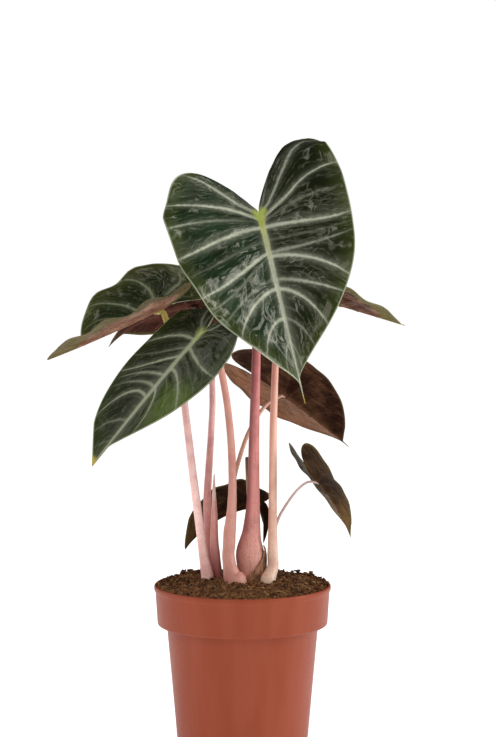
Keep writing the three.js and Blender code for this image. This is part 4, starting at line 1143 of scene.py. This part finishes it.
# Stalk skin: tone along the height, drifts and thin streaks along the stalk, fine darker flecks low down,
# the shade on its left side, and its own tone above the tip's height. Heights are in metres.
FLESH = paint(214, 160, 150)
ALONG_THE_STALK = (1, 1, 0.06)
tones = dict.fromkeys(("Foot", "Middle", "Top", "Shade", "Tip"), ("Color", FLESH))
measures = ("Foot height", "Middle height", "Top height", "Tip height", "Left")
measures = dict.fromkeys(measures, ("Float", 0.2))
tree, given, out = group_tree("stalk_skin", tones | measures, {"Color": "Color", "Height": "Float"})
where = object_place(tree)
height = add(tree, "ShaderNodeSeparateXYZ", None, Vector=where).outputs[2]
long_grain = stretched(where, ALONG_THE_STALK)
tone = mixed(fade(height, given["Foot height"], given["Middle height"]), given["Foot"], given["Middle"])
tone = mixed(fade(height, given["Middle height"], given["Top height"]), tone, given["Top"])
drifts = fade(grain(where, 70, 3), 0.42, 0.7, 0, 0.4)
streaks = fade(grain(long_grain, 520, 2), 0.5, 0.75, 0, 0.3)
flecks = fade(grain(stretched(where, (1, 1, 1.5)), 760, 1), 0.58, 0.68)
flecks = times(flecks, fade(height, 0.26, 0.14, 0.1, 0.5))
left_side = times(fade(read(tree, "left"), -0.1, 0.9), given["Left"], fade(height, 0.15, 0.2, 0.45, 1))
for shaded in (drifts, streaks, flecks, left_side):
    tone = mixed(shaded, tone, given["Shade"])
above_tip = calc("DIVIDE", calc("SUBTRACT", height, given["Tip height"]), 3 * MM)
tone = mixed(fade(above_tip, -1, 1), tone, given["Tip"])
give_out(tree, out, {"Color": tone, "Height": grain(long_grain, 900, 2)})
stalk_skin = tree
FLESH_ROUGHNESS = 0.48
FLESH_GLOW, FLESH_GLOW_REACH = 0.12, (0.004, 0.0016, 0.001)
NO_TIP = None, 1.0


def stalk_finish(name, tones, heights=(0.128, 0.2, 0.33), left=0.25, tip=NO_TIP):
    """Soft pink flesh: the tones of its foot, middle and top and its shade, and the first three's heights."""
    material, tree, shader = finish_tree(name)
    foot, middle, top, shade = (paint(*tone) for tone in tones)
    foot_height, middle_height, top_height = heights
    fleshy = add(
        tree, "ShaderNodeGroup", {"node_tree": stalk_skin}, Foot=foot, Middle=middle, Top=top, Shade=shade,
        Left=left, Foot_height=foot_height, Middle_height=middle_height, Top_height=top_height,
        Tip=tip[0] or top, Tip_height=tip[1],
    )
    coat(
        shader, bump=(fleshy.outputs["Height"], 0.25, 0.3 * MM), Base_Color=fleshy.outputs["Color"],
        Roughness=FLESH_ROUGHNESS, Subsurface_Weight=FLESH_GLOW, Subsurface_Radius=FLESH_GLOW_REACH,
        Subsurface_Scale=1,
    )
    return material


# Each stalk's colours at its foot, middle and top, its shade, and how far the shade covers its left side.
STALK_TONES = {
    "top": ((214, 156, 138), (208, 134, 126), (188, 104, 104), (120, 48, 50), 0.85),
    "front_left": ((196, 138, 122), (202, 146, 130), (208, 148, 130), (170, 100, 88), 0.4),
    "far_left": ((246, 200, 188), (255, 216, 208), (240, 186, 180), (200, 124, 120), 0.25),
    "behind_left": ((176, 102, 90), (230, 172, 164), (250, 214, 210), (160, 86, 84), 0.5),
    "behind_right": ((226, 196, 172), (230, 184, 162), (222, 162, 144), (196, 132, 112), 0.35),
    "right": ((196, 150, 110), (214, 166, 142), (220, 180, 160), (176, 116, 104), 0.3),
    "small_right": ((214, 178, 164), (226, 204, 196), (226, 200, 192), (170, 128, 114), 0.3),
    "small_low": ((206, 160, 140), (190, 130, 116), (150, 80, 72), (130, 66, 60), 0.3),
}
STALK_TIPS = {"far_left": (paint(176, 160, 78), 0.322), "behind_left": (paint(62, 34, 26), 0.314)}
for number, (place, rows) in enumerate(STALKS.items()):
    sides = TOP_STALK_SIDES if place == "top" else STALK_SIDES
    piece = stalk("stem_" + place, rows, sides, LEAVES[place], seed=number * 1.7)
    *tones, left = STALK_TONES[place]
    tip = STALK_TIPS.get(place, NO_TIP)
    piece.data.materials.append(stalk_finish("stalk_" + place, tones, left=left, tip=tip))
    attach(piece, "root")
    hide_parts("stalk_" + place)

# ---- bud sheath ----
# A slim rolled sheath that comes to a point, pinker than the stalks beside it. It stands in the peat on the
# left and holds the next leaf.
BUD_SHEATH = [
    (-19.6, 10.8, 131.5, 3.5), (-20.4, 10.5, 138.6, 3.6), (-21.7, 10.5, 149.9, 3.7),
    (-22.5, 10.5, 159.6, 3.5), (-22.3, 10.5, 175.6, 2.75), (-22.4, 10.5, 187.7, 2.1),
    (-22.6, 10.5, 198.9, 1.4), (-22.4, 10.5, 212.5, 0.4),
]
SHEATH_TONES = (150, 84, 80), (212, 150, 138), (222, 196, 184), (168, 92, 88)
sheath = stalk("sheath_of_bud", BUD_SHEATH, flutes=0.04, seed=4)
sheath.data.materials.append(stalk_finish("bud_sheath", SHEATH_TONES, (0.13, 0.17, 0.205)))
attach(sheath, "root")
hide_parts("bud_sheath")

# ---- cut stalk ----
# The stub of an older leaf behind the thick stalk, cut off square by hand. It dries from its dark cut end
# down through olive to tan.
CUT_STALK = [
    (7, 20.5, 131.6, 2), (6.6, 20, 151.6, 2), (6.3, 18.5, 174.4, 2), (5.2, 16.5, 193.2, 1.9),
    (4.2, 15, 209.5, 1.75), (3.6, 14.5, 225.2, 1.6),
]
STUB_TONES = (196, 160, 124), (176, 150, 92), (44, 34, 26), (120, 96, 58)
stub = stalk("stub_of_cut_stalk", CUT_STALK, flutes=0.05, seed=7)
stub.data.materials.append(stalk_finish("cut_stalk", STUB_TONES, (0.14, 0.2, 0.224)))
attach(stub, "root")
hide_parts("cut_stalk")

# ---- dry scale ----
# Papery brown remains of an old leaf base, wrapped round the thick stalk's front right and held in the
# peat. It stands a little off the stalk, with a ragged pointed upper edge and lengthwise folds.
SCALE_FROM, SCALE_CREST, SCALE_TO = -104, -8, 54
SCALE_FOOT, SCALE_SHOULDER, SCALE_POINT = 112, 134, 157
SCALE_COLUMNS, SCALE_ROWS = 60, 40
SCALE_OUTSIDE, SCALE_INSIDE = 1.5, 0.9
thick = smooth_line(STALKS["top"], 12)


def scale_place(angle, share, offset):
    side = SCALE_FROM if angle < SCALE_CREST else SCALE_TO
    lean = max(0, 1 - (angle - SCALE_CREST) / (side - SCALE_CREST))
    ragged = 1.2 * noise.noise(Vector((angle * 0.12, 3, 1))) + 0.5 * noise.noise(Vector((angle * 0.5, 1, 4)))
    upper_edge = SCALE_SHOULDER + (SCALE_POINT - SCALE_SHOULDER) * lean**1.3 + ragged
    z = SCALE_FOOT + share * (upper_edge - SCALE_FOOT)
    x, y, _, r = (np.interp(z, thick[:, 2], thick[:, k]) for k in range(4))
    crease = 0.35 * share * sin(angle * 0.35 + 2) + 0.25 * noise.noise(Vector((angle * 0.2, z * 0.15, 7)))
    reach = r + offset + crease
    return x + reach * cos(radians(angle)), y + reach * sin(radians(angle)), z


angles = np.linspace(SCALE_FROM, SCALE_TO, SCALE_COLUMNS)
shares = np.linspace(0, 1, SCALE_ROWS)
sheets = [[[scale_place(a, s, off) for s in shares] for a in angles] for off in (SCALE_OUTSIDE, SCALE_INSIDE)]
outside, inside = np.arange(2 * SCALE_COLUMNS * SCALE_ROWS).reshape(2, SCALE_COLUMNS, SCALE_ROWS)
edges = [
    (outside[:, 0], inside[:, 0]), (inside[:, -1], outside[:, -1]), (inside[0], outside[0]),
    (outside[-1], inside[-1]),
]
scale_faces = [grid_faces(outside), grid_faces(inside)[:, ::-1]] + [grid_faces(np.stack(e, 1)) for e in edges]
scale = skin("papery_scale", np.reshape(sheets, (-1, 3)), np.concatenate(scale_faces))
in_edit_mode(scale, face_outwards)

SCALE_LIGHT, SCALE_BROWN, SCALE_STREAK = paint(176, 128, 96), paint(112, 70, 48), paint(84, 48, 32)
SCALE_ROUGHNESS = 0.85
papery, tree, shader = finish_tree("papery_brown")
where = object_place(tree)
fibre_grain = grain(stretched(where, (1, 1, 0.1)), 900, 3)
tone = mixed(fade(grain(where, 120, 3), 0.35, 0.65), SCALE_BROWN, SCALE_LIGHT)
tone = mixed(fade(fibre_grain, 0.45, 0.7, 0, 0.7), tone, SCALE_STREAK)
coat(shader, bump=(fibre_grain, 0.6, 0.5 * MM), Base_Color=tone, Roughness=SCALE_ROUGHNESS)
scale.data.materials.append(papery)
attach(scale, "root")
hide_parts("dry_scale")
